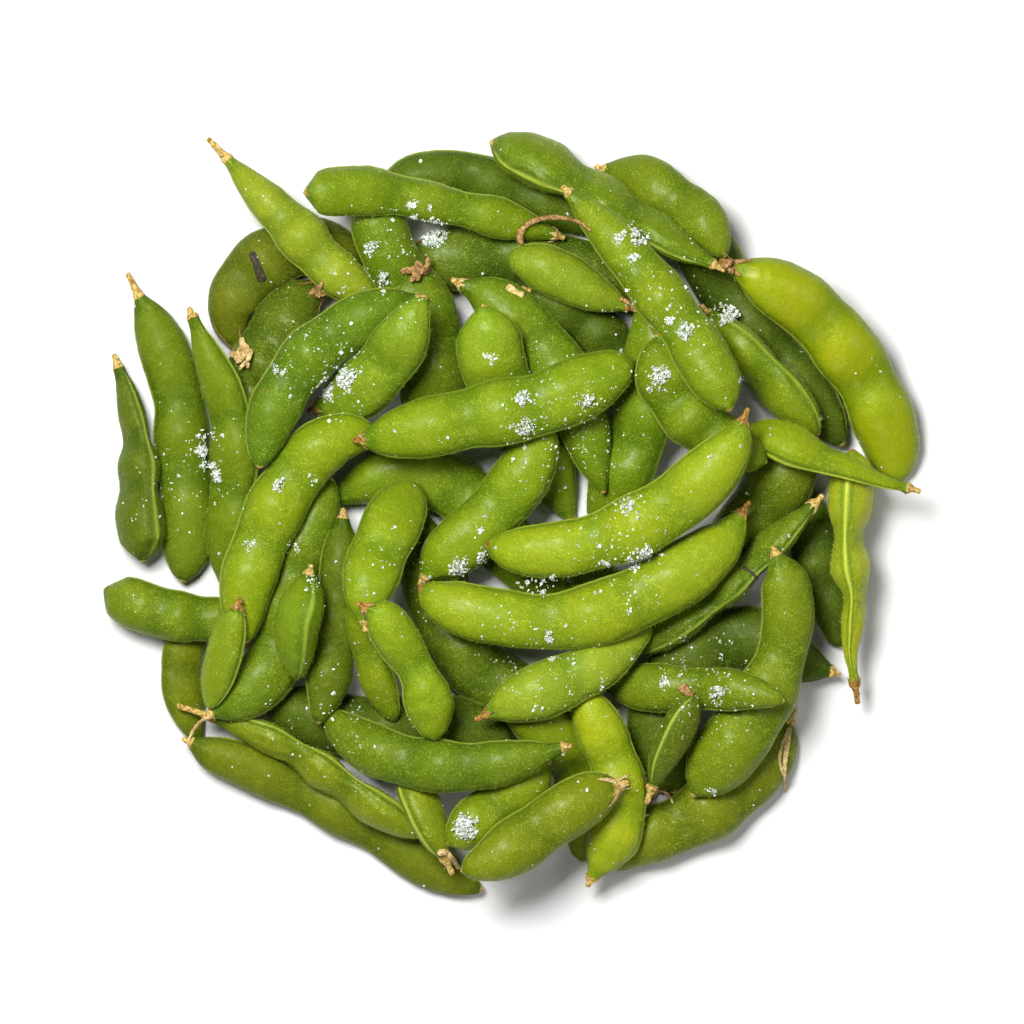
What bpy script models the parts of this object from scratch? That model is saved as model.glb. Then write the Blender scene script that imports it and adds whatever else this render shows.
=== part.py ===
"""A loose heap of boiled edamame pods lying on a flat surface.

Each pod is one closed solid: a short stalk, a slim neck, a flattened body that swells over each bean and has a
keeled seam along both edges, and a beak at the tip. The pods are laid one after another from the bottom of the
heap upwards, and each one comes to rest on the pods already there. Lengths are in millimetres until the meshes
are made, in metres; the base of the heap is at z = 0 and its middle is at x = y = 0.
"""

import math
from typing import NamedTuple

import bpy
import numpy as np
from mathutils import Vector
from mathutils.bvhtree import BVHTree
from mathutils.interpolate import poly_3d_calc

MM = 0.001
SIDES = 8  # corners of a pod's cross-section; the first and the fifth are its two seams
THICKNESS = 0.70  # of the breadth of a pod, from face to face
WAIST_THICKNESS = 0.22  # share of the thickness that is lost between two beans
WAIST_BREADTH = 0.05  # share of the breadth that is lost there
FLANK = 0.97  # pulls the corners between seam and face inwards, which makes the section a lens
STALK_RADIUS = 1.1
NECK_RADIUS = 1.4
CAP_DEPTH = 0.4  # of the domed end of the stalk
BEAN_ZONE = (0.12, 0.88)  # the beans sit between these shares of a pod's length
RINGS_PER_BEAN = {1: 6, 2: 4, 3: 2}
GAP = 0.4  # clear space under a pod at rest
FOOT_DEPTH = 0.45  # how far a pod that lies on the ground is pressed flat
PROBE_PITCH = 0.6  # spacing of the places where the space under a pod is felt
SLOPES = np.arange(-0.48, 0.481, 0.04)
SAGS = (0.0, 1.0, 2.0, 3.0)  # how far the ends of a pod may droop below its middle
TONES = {
    "bright": (0.36, 0.50, 0.06),
    "yellow": (0.43, 0.52, 0.06),
    "deep": (0.23, 0.37, 0.045),
    "olive": (0.24, 0.33, 0.05),
    "dark": (0.12, 0.21, 0.03),
}
ROUGHNESS = {"bright": 0.42, "yellow": 0.30, "deep": 0.40, "olive": 0.50, "dark": 0.50}


class Pod(NamedTuple):
    """One pod: how it is coloured, how far it is rolled on its side, and stations from its stem to its tip."""

    name: str
    tone: str
    roll: float  # degrees; 0 lies on a face with both seams at the sides, 90 stands on a seam
    beans: int
    stalk: float
    stations: list[tuple[float, float, float]]  # x, y and the width seen from above


class Shell(NamedTuple):
    """A pod's surface: its corners, how far along the pod each one lies, and its triangles."""

    corners: np.ndarray
    run: np.ndarray
    faces: list[tuple[int, int, int]]


# From the bottom of the heap upwards.
PODS = [
    Pod("dark_right", "dark", 0, 3, 2,
        [(77.5, -38, 4), (70, -35.5, 10.5), (58, -29.5, 16.5), (47.5, -33, 16),
         (39, -39.5, 16), (36.5, -50, 16), (38.5, -60, 13.5), (40, -67.5, 3)]),
    Pod("right_under", "dark", 0, 3, 2,
        [(69.5, 8, 3.5), (72, -1, 11), (74.5, -11.5, 13), (77.5, -22, 10.5), (80, -32.5, 3)]),
    Pod("right_inner", "bright", 0, 2, 2,
        [(47, -16, 3.5), (53, -9.5, 13.5), (60, 0.5, 16), (67, 10, 14.5), (73, 18, 3.5)]),
    Pod("upper_right_under", "dark", 10, 3, 2,
        [(40.5, 76, 3.5), (45.5, 66.5, 13), (52.5, 53.5, 15.5),
         (63, 39, 14), (73, 27, 12.5), (80.5, 16, 3.5)]),
    Pod("top_under", "dark", 0, 3, 2,
        [(21.5, 67, 3), (12.5, 73, 10), (1.5, 77.5, 11.5),
         (-11.5, 81.5, 11), (-23.5, 80.5, 10), (-30.5, 77.5, 3.5)]),
    Pod("top_inner", "deep", 0, 3, 2,
        [(-26, 61, 3), (-16, 61, 15), (-1.5, 62, 15), (13, 60.5, 14), (25.5, 55, 12), (33.5, 47.5, 3)]),
    Pod("top_mid_under", "dark", 0, 3, 2,
        [(5, 53, 3), (12.5, 49.5, 10.5), (21.5, 43.5, 12), (28.5, 34.5, 11.5), (31.5, 24.5, 3)]),
    Pod("mid_upright", "deep", 25, 3, 2,
        [(33.5, 53.5, 3), (34, 44, 10), (33.5, 29.5, 15), (30.5, 17, 17), (25.5, 5.5, 14.5), (20, -3, 3)]),
    Pod("mid_under", "deep", 0, 3, 2,
        [(-41.5, 3, 3), (-31.5, 8.5, 13), (-19.5, 9.5, 16), (-9, 3, 16),
         (0, -8.5, 16), (11.5, -16, 15.5), (25, -19.5, 13), (33.5, -19.5, 3)]),
    Pod("low_mid_under", "deep", 0, 3, 2,
        [(-21, 0, 3), (-18.5, -12, 15), (-14.5, -26.5, 17.5), (-5, -39, 18), (8, -46.5, 14), (19, -51, 3)]),
    Pod("low_under", "dark", 0, 2, 2,
        [(-0.5, -48, 4), (7.5, -51, 12.5), (16.5, -60, 14.5), (18.5, -72.5, 13), (18, -84, 3.5)]),
    Pod("left_low", "olive", 15, 2, 2,
        [(-74, -55, 2), (-76, -50, 6.5), (-78, -42.5, 10.5),
         (-78, -34, 10.5), (-75, -25.5, 7), (-72.5, -21, 2.5)]),
    Pod("left_flat", "deep", 0, 3, 2,
        [(-59, -25.5, 3.5), (-68, -25.5, 10), (-77.5, -25, 12),
         (-86, -23, 12.5), (-93.5, -20, 10), (-97, -18, 3.5)]),
    Pod("rim_long", "deep", 10, 3, 2,
        [(-76, -55, 2.5), (-72, -57, 7.5), (-63, -60.5, 10), (-53, -65.5, 10.5), (-42, -71, 10.5),
         (-31.5, -76.5, 11.5), (-21, -83, 11.5), (-12.5, -88, 7.5), (-6, -90.5, 2)]),
    Pod("rim_right_low", "deep", 0, 3, 3,
        [(67.5, -50, 3), (65, -55.5, 9.5), (59, -62.5, 14), (51, -69, 15.5),
         (42.5, -74, 15), (33, -78, 12), (26.5, -82.5, 7), (23, -85, 2)]),
    Pod("low_left_under", "dark", 0, 3, 2,
        [(-60, -43.5, 3), (-51, -47.5, 12.5), (-40, -50.5, 16), (-28, -52, 16),
         (-15, -51.5, 16), (-5, -53, 11.5), (1.5, -55.5, 3)]),
    Pod("left_high", "olive", 0, 3, 3,
        [(-64.5, 39, 3), (-66.5, 48, 11), (-62, 57, 15), (-54, 62.5, 15), (-43.5, 64, 12.5), (-35, 60, 3)]),
    Pod("left_between", "deep", 10, 3, 3,
        [(-44.5, 55, 2.5), (-50.5, 50, 12.5), (-56, 41, 16),
         (-61, 31, 15.5), (-62, 21.5, 14), (-60, 12, 3)]),
    Pod("rim_left", "olive", 0, 3, 6,
        [(-88.5, 52, 3), (-85, 45, 9.5), (-82, 38, 12), (-79, 27, 13),
         (-78, 14, 13.5), (-77, 2, 12.5), (-77, -9, 11.5), (-78, -17, 3)]),
    Pod("far_left", "olive", 55, 3, 3,
        [(-93.5, 35, 2), (-91.5, 29, 5), (-90, 22.5, 7), (-88.5, 12.5, 10),
         (-88.5, 0.5, 12), (-87.5, -8.5, 9.5), (-87.5, -12, 3)]),
    Pod("left_slim", "olive", 20, 3, 2,
        [(-75.5, 47, 1.5), (-72.5, 39.5, 6), (-68, 28.5, 10), (-65.5, 16.5, 11.5),
         (-66, 3, 12), (-66.5, -7.5, 12), (-65.5, -20.5, 3.5)]),
    Pod("low_left_over", "deep", 40, 3, 9,
        [(-70.5, -49, 2), (-66, -50.5, 4), (-59.5, -53, 6.5), (-51, -57.5, 8),
         (-42.5, -63, 9), (-34.5, -69, 9), (-26, -74, 7), (-20.5, -77.5, 2)]),
    Pod("low_short", "deep", 45, 1, 4,
        [(-15, -82.5, 2), (-17, -78, 7), (-20, -71, 9), (-23, -63.5, 8), (-24, -57.5, 3)]),
    Pod("low_round", "deep", 0, 2, 2,
        [(9, -59, 3), (5.5, -63.5, 11), (-2, -69.5, 12.5), (-9, -75, 11.5), (-14.5, -79.5, 3.5)]),
    Pod("low_left_wide", "olive", 0, 3, 2,
        [(-71, -48, 3), (-66, -45.5, 9.5), (-59.5, -40.5, 13), (-54.5, -31.5, 14),
         (-53, -21.5, 13.5), (-50, -10, 12.5), (-45.5, 1, 10.5), (-42, 8.5, 3)]),
    Pod("low_centre", "deep", 0, 3, 2,
        [(13, -56, 1.5), (4, -58.5, 8.5), (-7, -60.5, 12), (-20, -60, 13),
         (-31, -57, 12.5), (-39, -52, 9), (-43.5, -47, 3)]),
    Pod("low_left_upright", "olive", 0, 3, 2,
        [(-39.5, -1, 2.5), (-40, -7.5, 8), (-40.5, -18.5, 10),
         (-41.5, -30.5, 11), (-43, -40, 10.5), (-45.5, -50.5, 2.5)]),
    Pod("low_slim", "deep", 30, 2, 2,
        [(-35.5, -16, 2.5), (-35, -23.5, 7.5), (-33.5, -33, 8.5), (-30, -42.5, 8), (-27, -50, 2.5)]),
    Pod("left_front", "bright", 0, 2, 2,
        [(-34, -26, 2.5), (-34, -21, 9.5), (-32, -12, 14.5),
         (-28, -3, 14.5), (-24, 4, 10.5), (-21.5, 7.5, 2.5)]),
    Pod("single_bean", "olive", 70, 1, 2,
        [(-47.5, -14.5, 3), (-48.5, -19.5, 9.5), (-50.5, -27, 11), (-50.5, -34, 8), (-50.5, -40, 2)]),
    Pod("bridge_left", "bright", 0, 3, 2,
        [(-34, 77, 3), (-31.5, 70, 12.5), (-27.5, 60, 13.5), (-21, 49.5, 17),
         (-18, 39, 18), (-18, 28, 16), (-17, 17.5, 3)]),
    Pod("rim_top_left", "bright", 0, 3, 7,
        [(-67, 84.5, 2.5), (-60.5, 77.5, 7), (-51.5, 68.5, 12),
         (-45, 61, 11.5), (-37.5, 54.5, 9.5), (-31, 49, 2.5)]),
    Pod("top_left", "deep", 0, 3, 2,
        [(11.5, 66.5, 2.5), (-2, 70.5, 9.5), (-14.5, 73.5, 9), (-26.5, 76, 10.5),
         (-38, 77, 12), (-45.5, 76.5, 9.5), (-49, 76.5, 3)]),
    Pod("dark_diagonal", "deep", 0, 3, 2,
        [(-11.5, 55, 2), (-4, 51.5, 10.5), (4, 45, 13.5), (11.5, 35.5, 14),
         (17, 24.5, 13), (20, 14, 9), (23, 4.5, 1)]),
    Pod("top_small", "bright", 0, 1, 2,
        [(28.5, 49.5, 2), (22, 52, 8), (13.5, 56.5, 11.5), (5.5, 60, 9.5), (-0.5, 61.5, 2.5)]),
    Pod("upright_bean", "bright", 0, 3, 2,
        [(15, -1.5, 3), (9.5, 10.5, 13), (1.5, 23.5, 15.5), (-3.5, 35, 18), (-5, 44, 13.5), (-6, 50, 1.5)]),
    Pod("top_right", "deep", 0, 2, 2,
        [(23, 82.5, 3), (31.5, 80, 12), (40, 75, 12.5), (47.5, 68.5, 11), (52, 61, 2.5)]),
    Pod("top_seam", "bright", 50, 3, 3,
        [(49, 59.5, 2), (40.5, 64, 7), (33, 69, 9.5), (24.5, 74.5, 11),
         (16, 79.5, 11), (9, 83.5, 12.5), (1.5, 86.5, 11), (-4.5, 89, 3.5)]),
    Pod("right_upright", "bright", 80, 3, 5,
        [(83, -40.5, 1.5), (82, -33, 3), (82.5, -26, 5.5), (83, -19.5, 8.5),
         (81.5, -10, 9.5), (82, 0.5, 10.5), (82.5, 10.5, 10), (82.5, 15.5, 3)]),
    Pod("rim_right", "yellow", 0, 3, 3,
        [(53.5, 59, 3), (60, 56, 11), (69, 51, 15), (78, 42.5, 16),
         (85, 33, 15.5), (90, 22.5, 15), (92.5, 14, 12.5), (93.5, 6.5, 3.5)]),
    Pod("right_short", "bright", 50, 2, 2,
        [(47.5, 48, 2.5), (52, 42.5, 9), (58.5, 36, 11.5),
         (65.5, 29, 11), (70.5, 23.5, 8.5), (74.5, 18.5, 2)]),
    Pod("right_taper", "deep", 35, 2, 3,
        [(95.5, 6, 1.5), (89.5, 7.5, 3), (82, 10.5, 5.5), (73.5, 13.5, 9),
         (66, 17, 10), (60, 19, 7), (56.5, 20.5, 1.5)]),
    Pod("centre_right", "deep", 0, 3, 2,
        [(36.5, 42.5, 3), (37, 35, 13.5), (41.5, 26, 15), (48, 19.5, 14), (55.5, 15, 10.5), (62, 12, 3)]),
    Pod("upper_long", "bright", 0, 3, 2,
        [(14.5, 76.5, 2), (18.5, 72.5, 6), (24, 67, 9.5), (31.5, 58, 12.5),
         (38.5, 49, 13), (44.5, 40.5, 12.5), (49.5, 31.5, 12), (53, 24, 3.5)]),
    Pod("right_thin", "deep", 55, 3, 3,
        [(73, 2, 2), (65.5, -5.5, 7), (57, -13.5, 8.5),
         (47.5, -21.5, 9), (37.5, -28.5, 8), (31, -33.5, 2.5)]),
    Pod("centre_cross", "bright", 0, 2, 2,
        [(-20, -15.5, 2.5), (-17, -12, 10), (-11, -7, 13.5), (-4, -0.5, 14.5),
         (2.5, 7.5, 14), (7, 15.5, 10.5), (10, 22, 2)]),
    Pod("right_hook", "deep", 0, 3, 2,
        [(64, -10, 3), (66, -15.5, 10.5), (67, -23, 12), (66, -31.5, 12.5),
         (62.5, -41.5, 14.5), (57, -51, 16), (49.5, -60.5, 15), (44, -68, 3.5)]),
    Pod("low_curve", "deep", 0, 3, 2,
        [(20, -87.5, 1.5), (23.5, -81, 10.5), (26.5, -73.5, 13), (26.5, -64, 13),
         (23.5, -55, 12), (20, -47.5, 9.5), (17.5, -42, 3)]),
    Pod("salted_low", "bright", 0, 2, 2,
        [(23, -41, 3), (30.5, -41.5, 10.5), (41.5, -42, 11),
         (52, -42, 10), (59.5, -43, 7), (66, -45, 1.5)]),
    Pod("twig_pod", "deep", 65, 1, 4,
        [(34.5, -65.5, 1.5), (36.5, -60, 6), (39.5, -54, 8), (42.5, -48, 7), (45, -43.5, 2)]),
    Pod("low_leaf", "bright", 0, 2, 3,
        [(-5, -48, 3), (0, -45.5, 9.5), (7.5, -42.5, 13.5), (16, -39, 13.5),
         (23.5, -35, 10.5), (30, -30.5, 6), (34.5, -27, 1.5)]),
    Pod("centre_long", "bright", 0, 3, 3,
        [(56, 0, 2.5), (52.5, -5.5, 9.5), (45, -12, 14), (33.5, -19, 16), (21.5, -24, 15.5),
         (9, -26, 14), (-4, -24.5, 13), (-15, -21.5, 11), (-21.5, -17.5, 3)]),
    Pod("centre_upper", "bright", 0, 3, 3,
        [(56, 22, 2.5), (54, 17, 9), (47, 8.5, 14), (37, 0.5, 15.5),
         (25, -5.5, 15), (13, -8.5, 13), (2.5, -9, 11), (-5.5, -7.5, 3.5)]),
    Pod("upper_left_over", "deep", 0, 3, 2,
        [(-21.5, 51, 2.5), (-28.5, 49, 10), (-37.5, 45, 13), (-46.5, 38.5, 13.5),
         (-53.5, 29.5, 13), (-57.5, 20, 10.5), (-59.5, 10.5, 3)]),
    Pod("upper_left_tip", "bright", 0, 2, 2,
        [(-46, 25, 3), (-40.5, 26.5, 11), (-32.5, 32, 14.5),
         (-26, 40.5, 13.5), (-22.5, 47, 8.5), (-19.5, 51.5, 1.5)]),
    Pod("left_arch", "bright", 0, 3, 2,
        [(-29.5, 17.5, 3), (-38, 18.5, 10.5), (-45.5, 15, 13.5), (-53, 5.5, 14.5),
         (-58, -4, 14.5), (-61.5, -13.5, 13.5), (-63, -22, 11.5), (-63, -31.5, 3)]),
    Pod("left_small", "bright", 20, 1, 2,
        [(-64.5, -22.5, 2.5), (-66, -27, 7), (-68, -34, 8.5), (-70, -41.5, 7), (-71.5, -47, 1.5)]),
    Pod("left_double", "bright", 0, 2, 2,
        [(-34, -22.5, 2.5), (-30, -25, 9), (-25, -32.5, 10.5),
         (-21, -39, 10), (-18.5, -47, 11), (-17.5, -54.5, 3)]),
    Pod("centre_bridge", "bright", 0, 3, 2,
        [(-35, 17.5, 2.5), (-31, 18, 8), (-23.5, 19.5, 13), (-12.5, 22, 15), (-2, 24, 16.5),
         (9, 26.5, 16), (18.5, 30.5, 14.5), (25.5, 34, 10.5), (30.5, 36.5, 3)]),
    Pod("low_right_over", "deep", 0, 2, 2,
        [(26.5, -65, 4.5), (21, -67, 11), (12.5, -72, 13.5),
         (4, -78, 14), (-3.5, -82.5, 11), (-11.5, -85.5, 3)]),
]


def through(stations: list[tuple[float, float, float]], count: int) -> np.ndarray:
    """Rows x, y, width at even shares of the length of a smooth curve through the stations."""
    known = np.array(stations, float)
    known = np.vstack([2 * known[0] - known[1], known, 2 * known[-1] - known[-2]])
    steps = np.sqrt(np.linalg.norm(np.diff(known[:, :2], axis=0), axis=1))
    at = np.concatenate([[0.0], np.cumsum(steps)])
    rows = []
    for first in range(1, len(known) - 2):
        a, b, c, d = known[first - 1 : first + 3]
        ta, tb, tc, td = at[first - 1 : first + 3]
        for t in np.linspace(tb, tc, 24, endpoint=False):
            ab = ((tb - t) * a + (t - ta) * b) / (tb - ta)
            bc = ((tc - t) * b + (t - tb) * c) / (tc - tb)
            cd = ((td - t) * c + (t - tc) * d) / (td - tc)
            low = ((tc - t) * ab + (t - ta) * bc) / (tc - ta)
            high = ((td - t) * bc + (t - tb) * cd) / (td - tb)
            rows.append(((tc - t) * low + (t - tb) * high) / (tc - tb))
    rows = np.array(rows + [known[-2]])
    run = np.concatenate([[0.0], np.cumsum(np.linalg.norm(np.diff(rows[:, :2], axis=0), axis=1))])
    shares = np.linspace(0.0, run[-1], count)
    return np.column_stack([np.interp(shares, run, rows[:, column]) for column in range(3)])


def ring_shares(beans: int) -> np.ndarray:
    """Where the rings of a pod's body lie, as shares of its length: on every bean and every waist at least."""
    first, last = BEAN_ZONE
    inner = np.linspace(first, last, beans * RINGS_PER_BEAN[beans] + 1)
    return np.concatenate([[0.0, 0.05], inner, [0.95]])


def fullness(share: float, beans: int) -> float:
    """1 over the middle of a bean, falling to 0 at a waist between two beans."""
    first, last = BEAN_ZONE
    turn = (share - first) / (last - first) * beans
    if turn <= 0.5 or turn >= beans - 0.5:
        return 1.0
    return 0.5 - 0.5 * math.cos(2 * math.pi * turn)


def lying_flat(pod: Pod) -> Shell:
    """The pod with its centre line in the plane z = 0."""
    line = through(pod.stations, 201)
    even = np.linspace(0.0, 1.0, len(line))
    length = float(np.linalg.norm(np.diff(line[:, :2], axis=0), axis=1).sum())
    headings = np.gradient(line[:, :2], axis=0)
    roll = math.radians(pod.roll)
    seen = math.hypot(math.cos(roll), THICKNESS * math.sin(roll))
    turns = np.arange(SIDES) * 2 * math.pi / SIDES
    flank = np.where(np.arange(SIDES) % 2 == 1, FLANK, 1.0)

    def ring(share: float, broad: float, deep: float, back: float = 0.0) -> np.ndarray:
        x, y, ahead, aside = (np.interp(share, even, row) for row in (*line[:, :2].T, *headings.T))
        size = math.hypot(ahead, aside)
        ahead, aside = ahead / size, aside / size
        seam = broad * flank * np.cos(turns)
        face = deep * flank * np.sin(turns)
        v = seam * math.cos(roll) - face * math.sin(roll)
        z = seam * math.sin(roll) + face * math.cos(roll)
        return np.column_stack([x - back * ahead - v * aside, y - back * aside + v * ahead, z])

    rings = [ring(0.0, STALK_RADIUS, STALK_RADIUS, pod.stalk), ring(0.0, NECK_RADIUS, NECK_RADIUS)]
    places = [-pod.stalk, 0.0]
    for share in ring_shares(pod.beans)[1:]:
        loss = 1 - fullness(share, pod.beans)
        half = float(np.interp(share, even, line[:, 2])) / 2 / seen
        deep = half * THICKNESS * (1 - WAIST_THICKNESS * loss)
        rings.append(ring(share, half * (1 - WAIST_BREADTH * loss), deep))
        places.append(share * length)
    cap = ring(0.0, 0.0, 0.0, pod.stalk + CAP_DEPTH)[0]
    tip = ring(1.0, 0.0, 0.0)[0]
    corners = np.vstack([[cap], *rings, [tip]])
    run = np.concatenate([[-pod.stalk - CAP_DEPTH], np.repeat(places, SIDES), [length]]) - length / 2
    last = len(corners) - 1
    faces = []
    for j in range(SIDES):
        k = (j + 1) % SIDES
        faces.append((0, 1 + k, 1 + j))
        for near in range(1, last - SIDES, SIDES):
            faces.append((near + j, near + k, near + SIDES + k))
            faces.append((near + j, near + SIDES + k, near + SIDES + j))
        faces.append((last - SIDES + j, last - SIDES + k, last))
    return Shell(corners, run, faces)


def tree_of(shells: list[Shell]) -> BVHTree:
    """One search tree over the surfaces of these pods."""
    corners, faces = [], []
    for shell in shells:
        start = len(corners)
        corners.extend(Vector(corner) for corner in shell.corners)
        faces.extend(tuple(start + corner for corner in face) for face in shell.faces)
    return BVHTree.FromPolygons(corners, faces)


def probes(flat: Shell, laid: list[Shell]) -> np.ndarray:
    """Rows of a point's place along the pod and the height its centre line needs there to clear the heap."""
    own = tree_of([flat])
    heap = tree_of(laid) if laid else None
    low, high = flat.corners.min(axis=0), flat.corners.max(axis=0)
    xs, ys = (np.arange(low[i] + 0.02, high[i], PROBE_PITCH) for i in range(2))
    places = [(x, y) for x in xs for y in ys] + [(x, y) for x, y, _ in flat.corners]
    for shell in laid:
        inside = np.all((shell.corners[:, :2] > low[:2]) & (shell.corners[:, :2] < high[:2]), axis=1)
        places.extend((x, y) for x, y, _ in shell.corners[inside])
    rows = []
    for x, y in places:
        under, _, face, _ = own.ray_cast(Vector((x, y, -1000.0)), Vector((0.0, 0.0, 1.0)))
        if under is None:
            continue
        ground = -FOOT_DEPTH
        if heap is not None:
            top = heap.ray_cast(Vector((x, y, 1000.0)), Vector((0.0, 0.0, -1.0)))[0]
            if top is not None:
                ground = top.z + GAP
        corners = flat.faces[face]
        share = poly_3d_calc([Vector(flat.corners[corner]) for corner in corners], under)
        rows.append((float(np.dot(share, flat.run[list(corners)])), ground - under.z))
    return np.array(rows)


def laid_on(flat: Shell, laid: list[Shell]) -> Shell:
    """The pod at rest on the heap, with the slope and the sag that let its middle lie lowest."""
    rows = probes(flat, laid)
    half = flat.run[-1]
    choices = []
    for slope in SLOPES:
        for sag in SAGS:
            bend = slope * rows[:, 0] - sag * (rows[:, 0] / half) ** 2
            height = float(np.max(rows[:, 1] - bend))
            effort = 1.5 * abs(slope) + 0.15 * sag
            choices.append((height - 0.3 * sag + effort, height, float(slope), sag))
    _, height, slope, sag = min(choices)
    corners = flat.corners.copy()
    corners[:, 2] += height + slope * flat.run - sag * (flat.run / half) ** 2
    corners[:, 2] = np.maximum(corners[:, 2], 0.0)
    return Shell(corners, flat.run, flat.faces)


def skin(pod: Pod) -> bpy.types.Material:
    """The pod's own green."""
    material = bpy.data.materials.new(pod.name + "_skin")
    material.use_nodes = True
    shader = material.node_tree.nodes["Principled BSDF"]
    shader.inputs["Base Color"].default_value = (*TONES[pod.tone], 1.0)
    shader.inputs["Roughness"].default_value = ROUGHNESS[pod.tone]
    shader.inputs["Metallic"].default_value = 0.0
    return material


def clear() -> None:
    """Empty the scene."""
    for thing in list(bpy.data.objects):
        bpy.data.objects.remove(thing, do_unlink=True)


def main() -> None:
    """Lay every pod, then place the finished heap so that it stands centred on the ground."""
    clear()
    laid: list[Shell] = []
    for pod in PODS:
        laid.append(laid_on(lying_flat(pod), laid))
    everything = np.vstack([shell.corners for shell in laid])
    middle = (everything.min(axis=0) + everything.max(axis=0)) / 2
    middle[2] = everything[:, 2].min()
    for pod, shell in zip(PODS, laid):
        home = shell.corners.mean(axis=0)
        home[2] = shell.corners[:, 2].min()
        mesh = bpy.data.meshes.new(pod.name)
        mesh.from_pydata(((shell.corners - home) * MM).tolist(), [], shell.faces)
        mesh.materials.append(skin(pod))
        thing = bpy.data.objects.new(pod.name, mesh)
        thing.location = (home - middle) * MM
        bpy.context.scene.collection.objects.link(thing)


if __name__ == "__main__":
    main()
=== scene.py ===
"""A loose heap of boiled, salted edamame pods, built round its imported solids."""

import logging
import math
from dataclasses import dataclass, field
from enum import Enum
from typing import Any

import bpy
import numpy as np
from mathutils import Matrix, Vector
from mathutils.bvhtree import BVHTree


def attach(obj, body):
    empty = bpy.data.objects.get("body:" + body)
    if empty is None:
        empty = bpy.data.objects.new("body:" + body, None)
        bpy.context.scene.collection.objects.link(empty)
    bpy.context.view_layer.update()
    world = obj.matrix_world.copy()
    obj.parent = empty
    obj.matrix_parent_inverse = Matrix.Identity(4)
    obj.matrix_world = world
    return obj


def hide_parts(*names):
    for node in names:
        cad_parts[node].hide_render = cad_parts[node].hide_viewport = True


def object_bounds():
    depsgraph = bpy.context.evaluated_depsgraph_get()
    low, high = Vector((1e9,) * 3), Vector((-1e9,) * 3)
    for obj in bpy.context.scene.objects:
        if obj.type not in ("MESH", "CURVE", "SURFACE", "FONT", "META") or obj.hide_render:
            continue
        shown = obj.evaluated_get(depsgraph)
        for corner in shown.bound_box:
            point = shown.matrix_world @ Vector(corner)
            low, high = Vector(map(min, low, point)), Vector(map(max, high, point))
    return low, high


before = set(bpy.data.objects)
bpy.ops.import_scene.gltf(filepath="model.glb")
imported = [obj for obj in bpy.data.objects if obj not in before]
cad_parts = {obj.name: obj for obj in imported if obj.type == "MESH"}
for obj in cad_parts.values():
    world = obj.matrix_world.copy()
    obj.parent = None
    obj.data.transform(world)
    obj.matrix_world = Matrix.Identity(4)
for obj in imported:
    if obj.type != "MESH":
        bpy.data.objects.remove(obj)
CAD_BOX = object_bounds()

log = logging.getLogger("edamame")

MM = 0.001
Colour = tuple[float, float, float]
Table = np.ndarray


class Surface(Enum):
    """The three kinds of skin that the pods of one boiling come in."""

    FRESH = "fresh"
    DULL = "dull"
    GLOSSY = "glossy"


class Dry(Enum):
    """What is left of the flower and its stalk at a pod's stem end, and the near-black painted shade inside
    torn or slit pods.
    """

    TAN = "tan"
    BROWN = "brown"
    # DARK is no dry matter: it is painted shade for the hollow inside a torn or slit pod.
    DARK = "dark"


# --------------------------------------------------------------------------------------------------
# Node trees
# --------------------------------------------------------------------------------------------------


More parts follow.
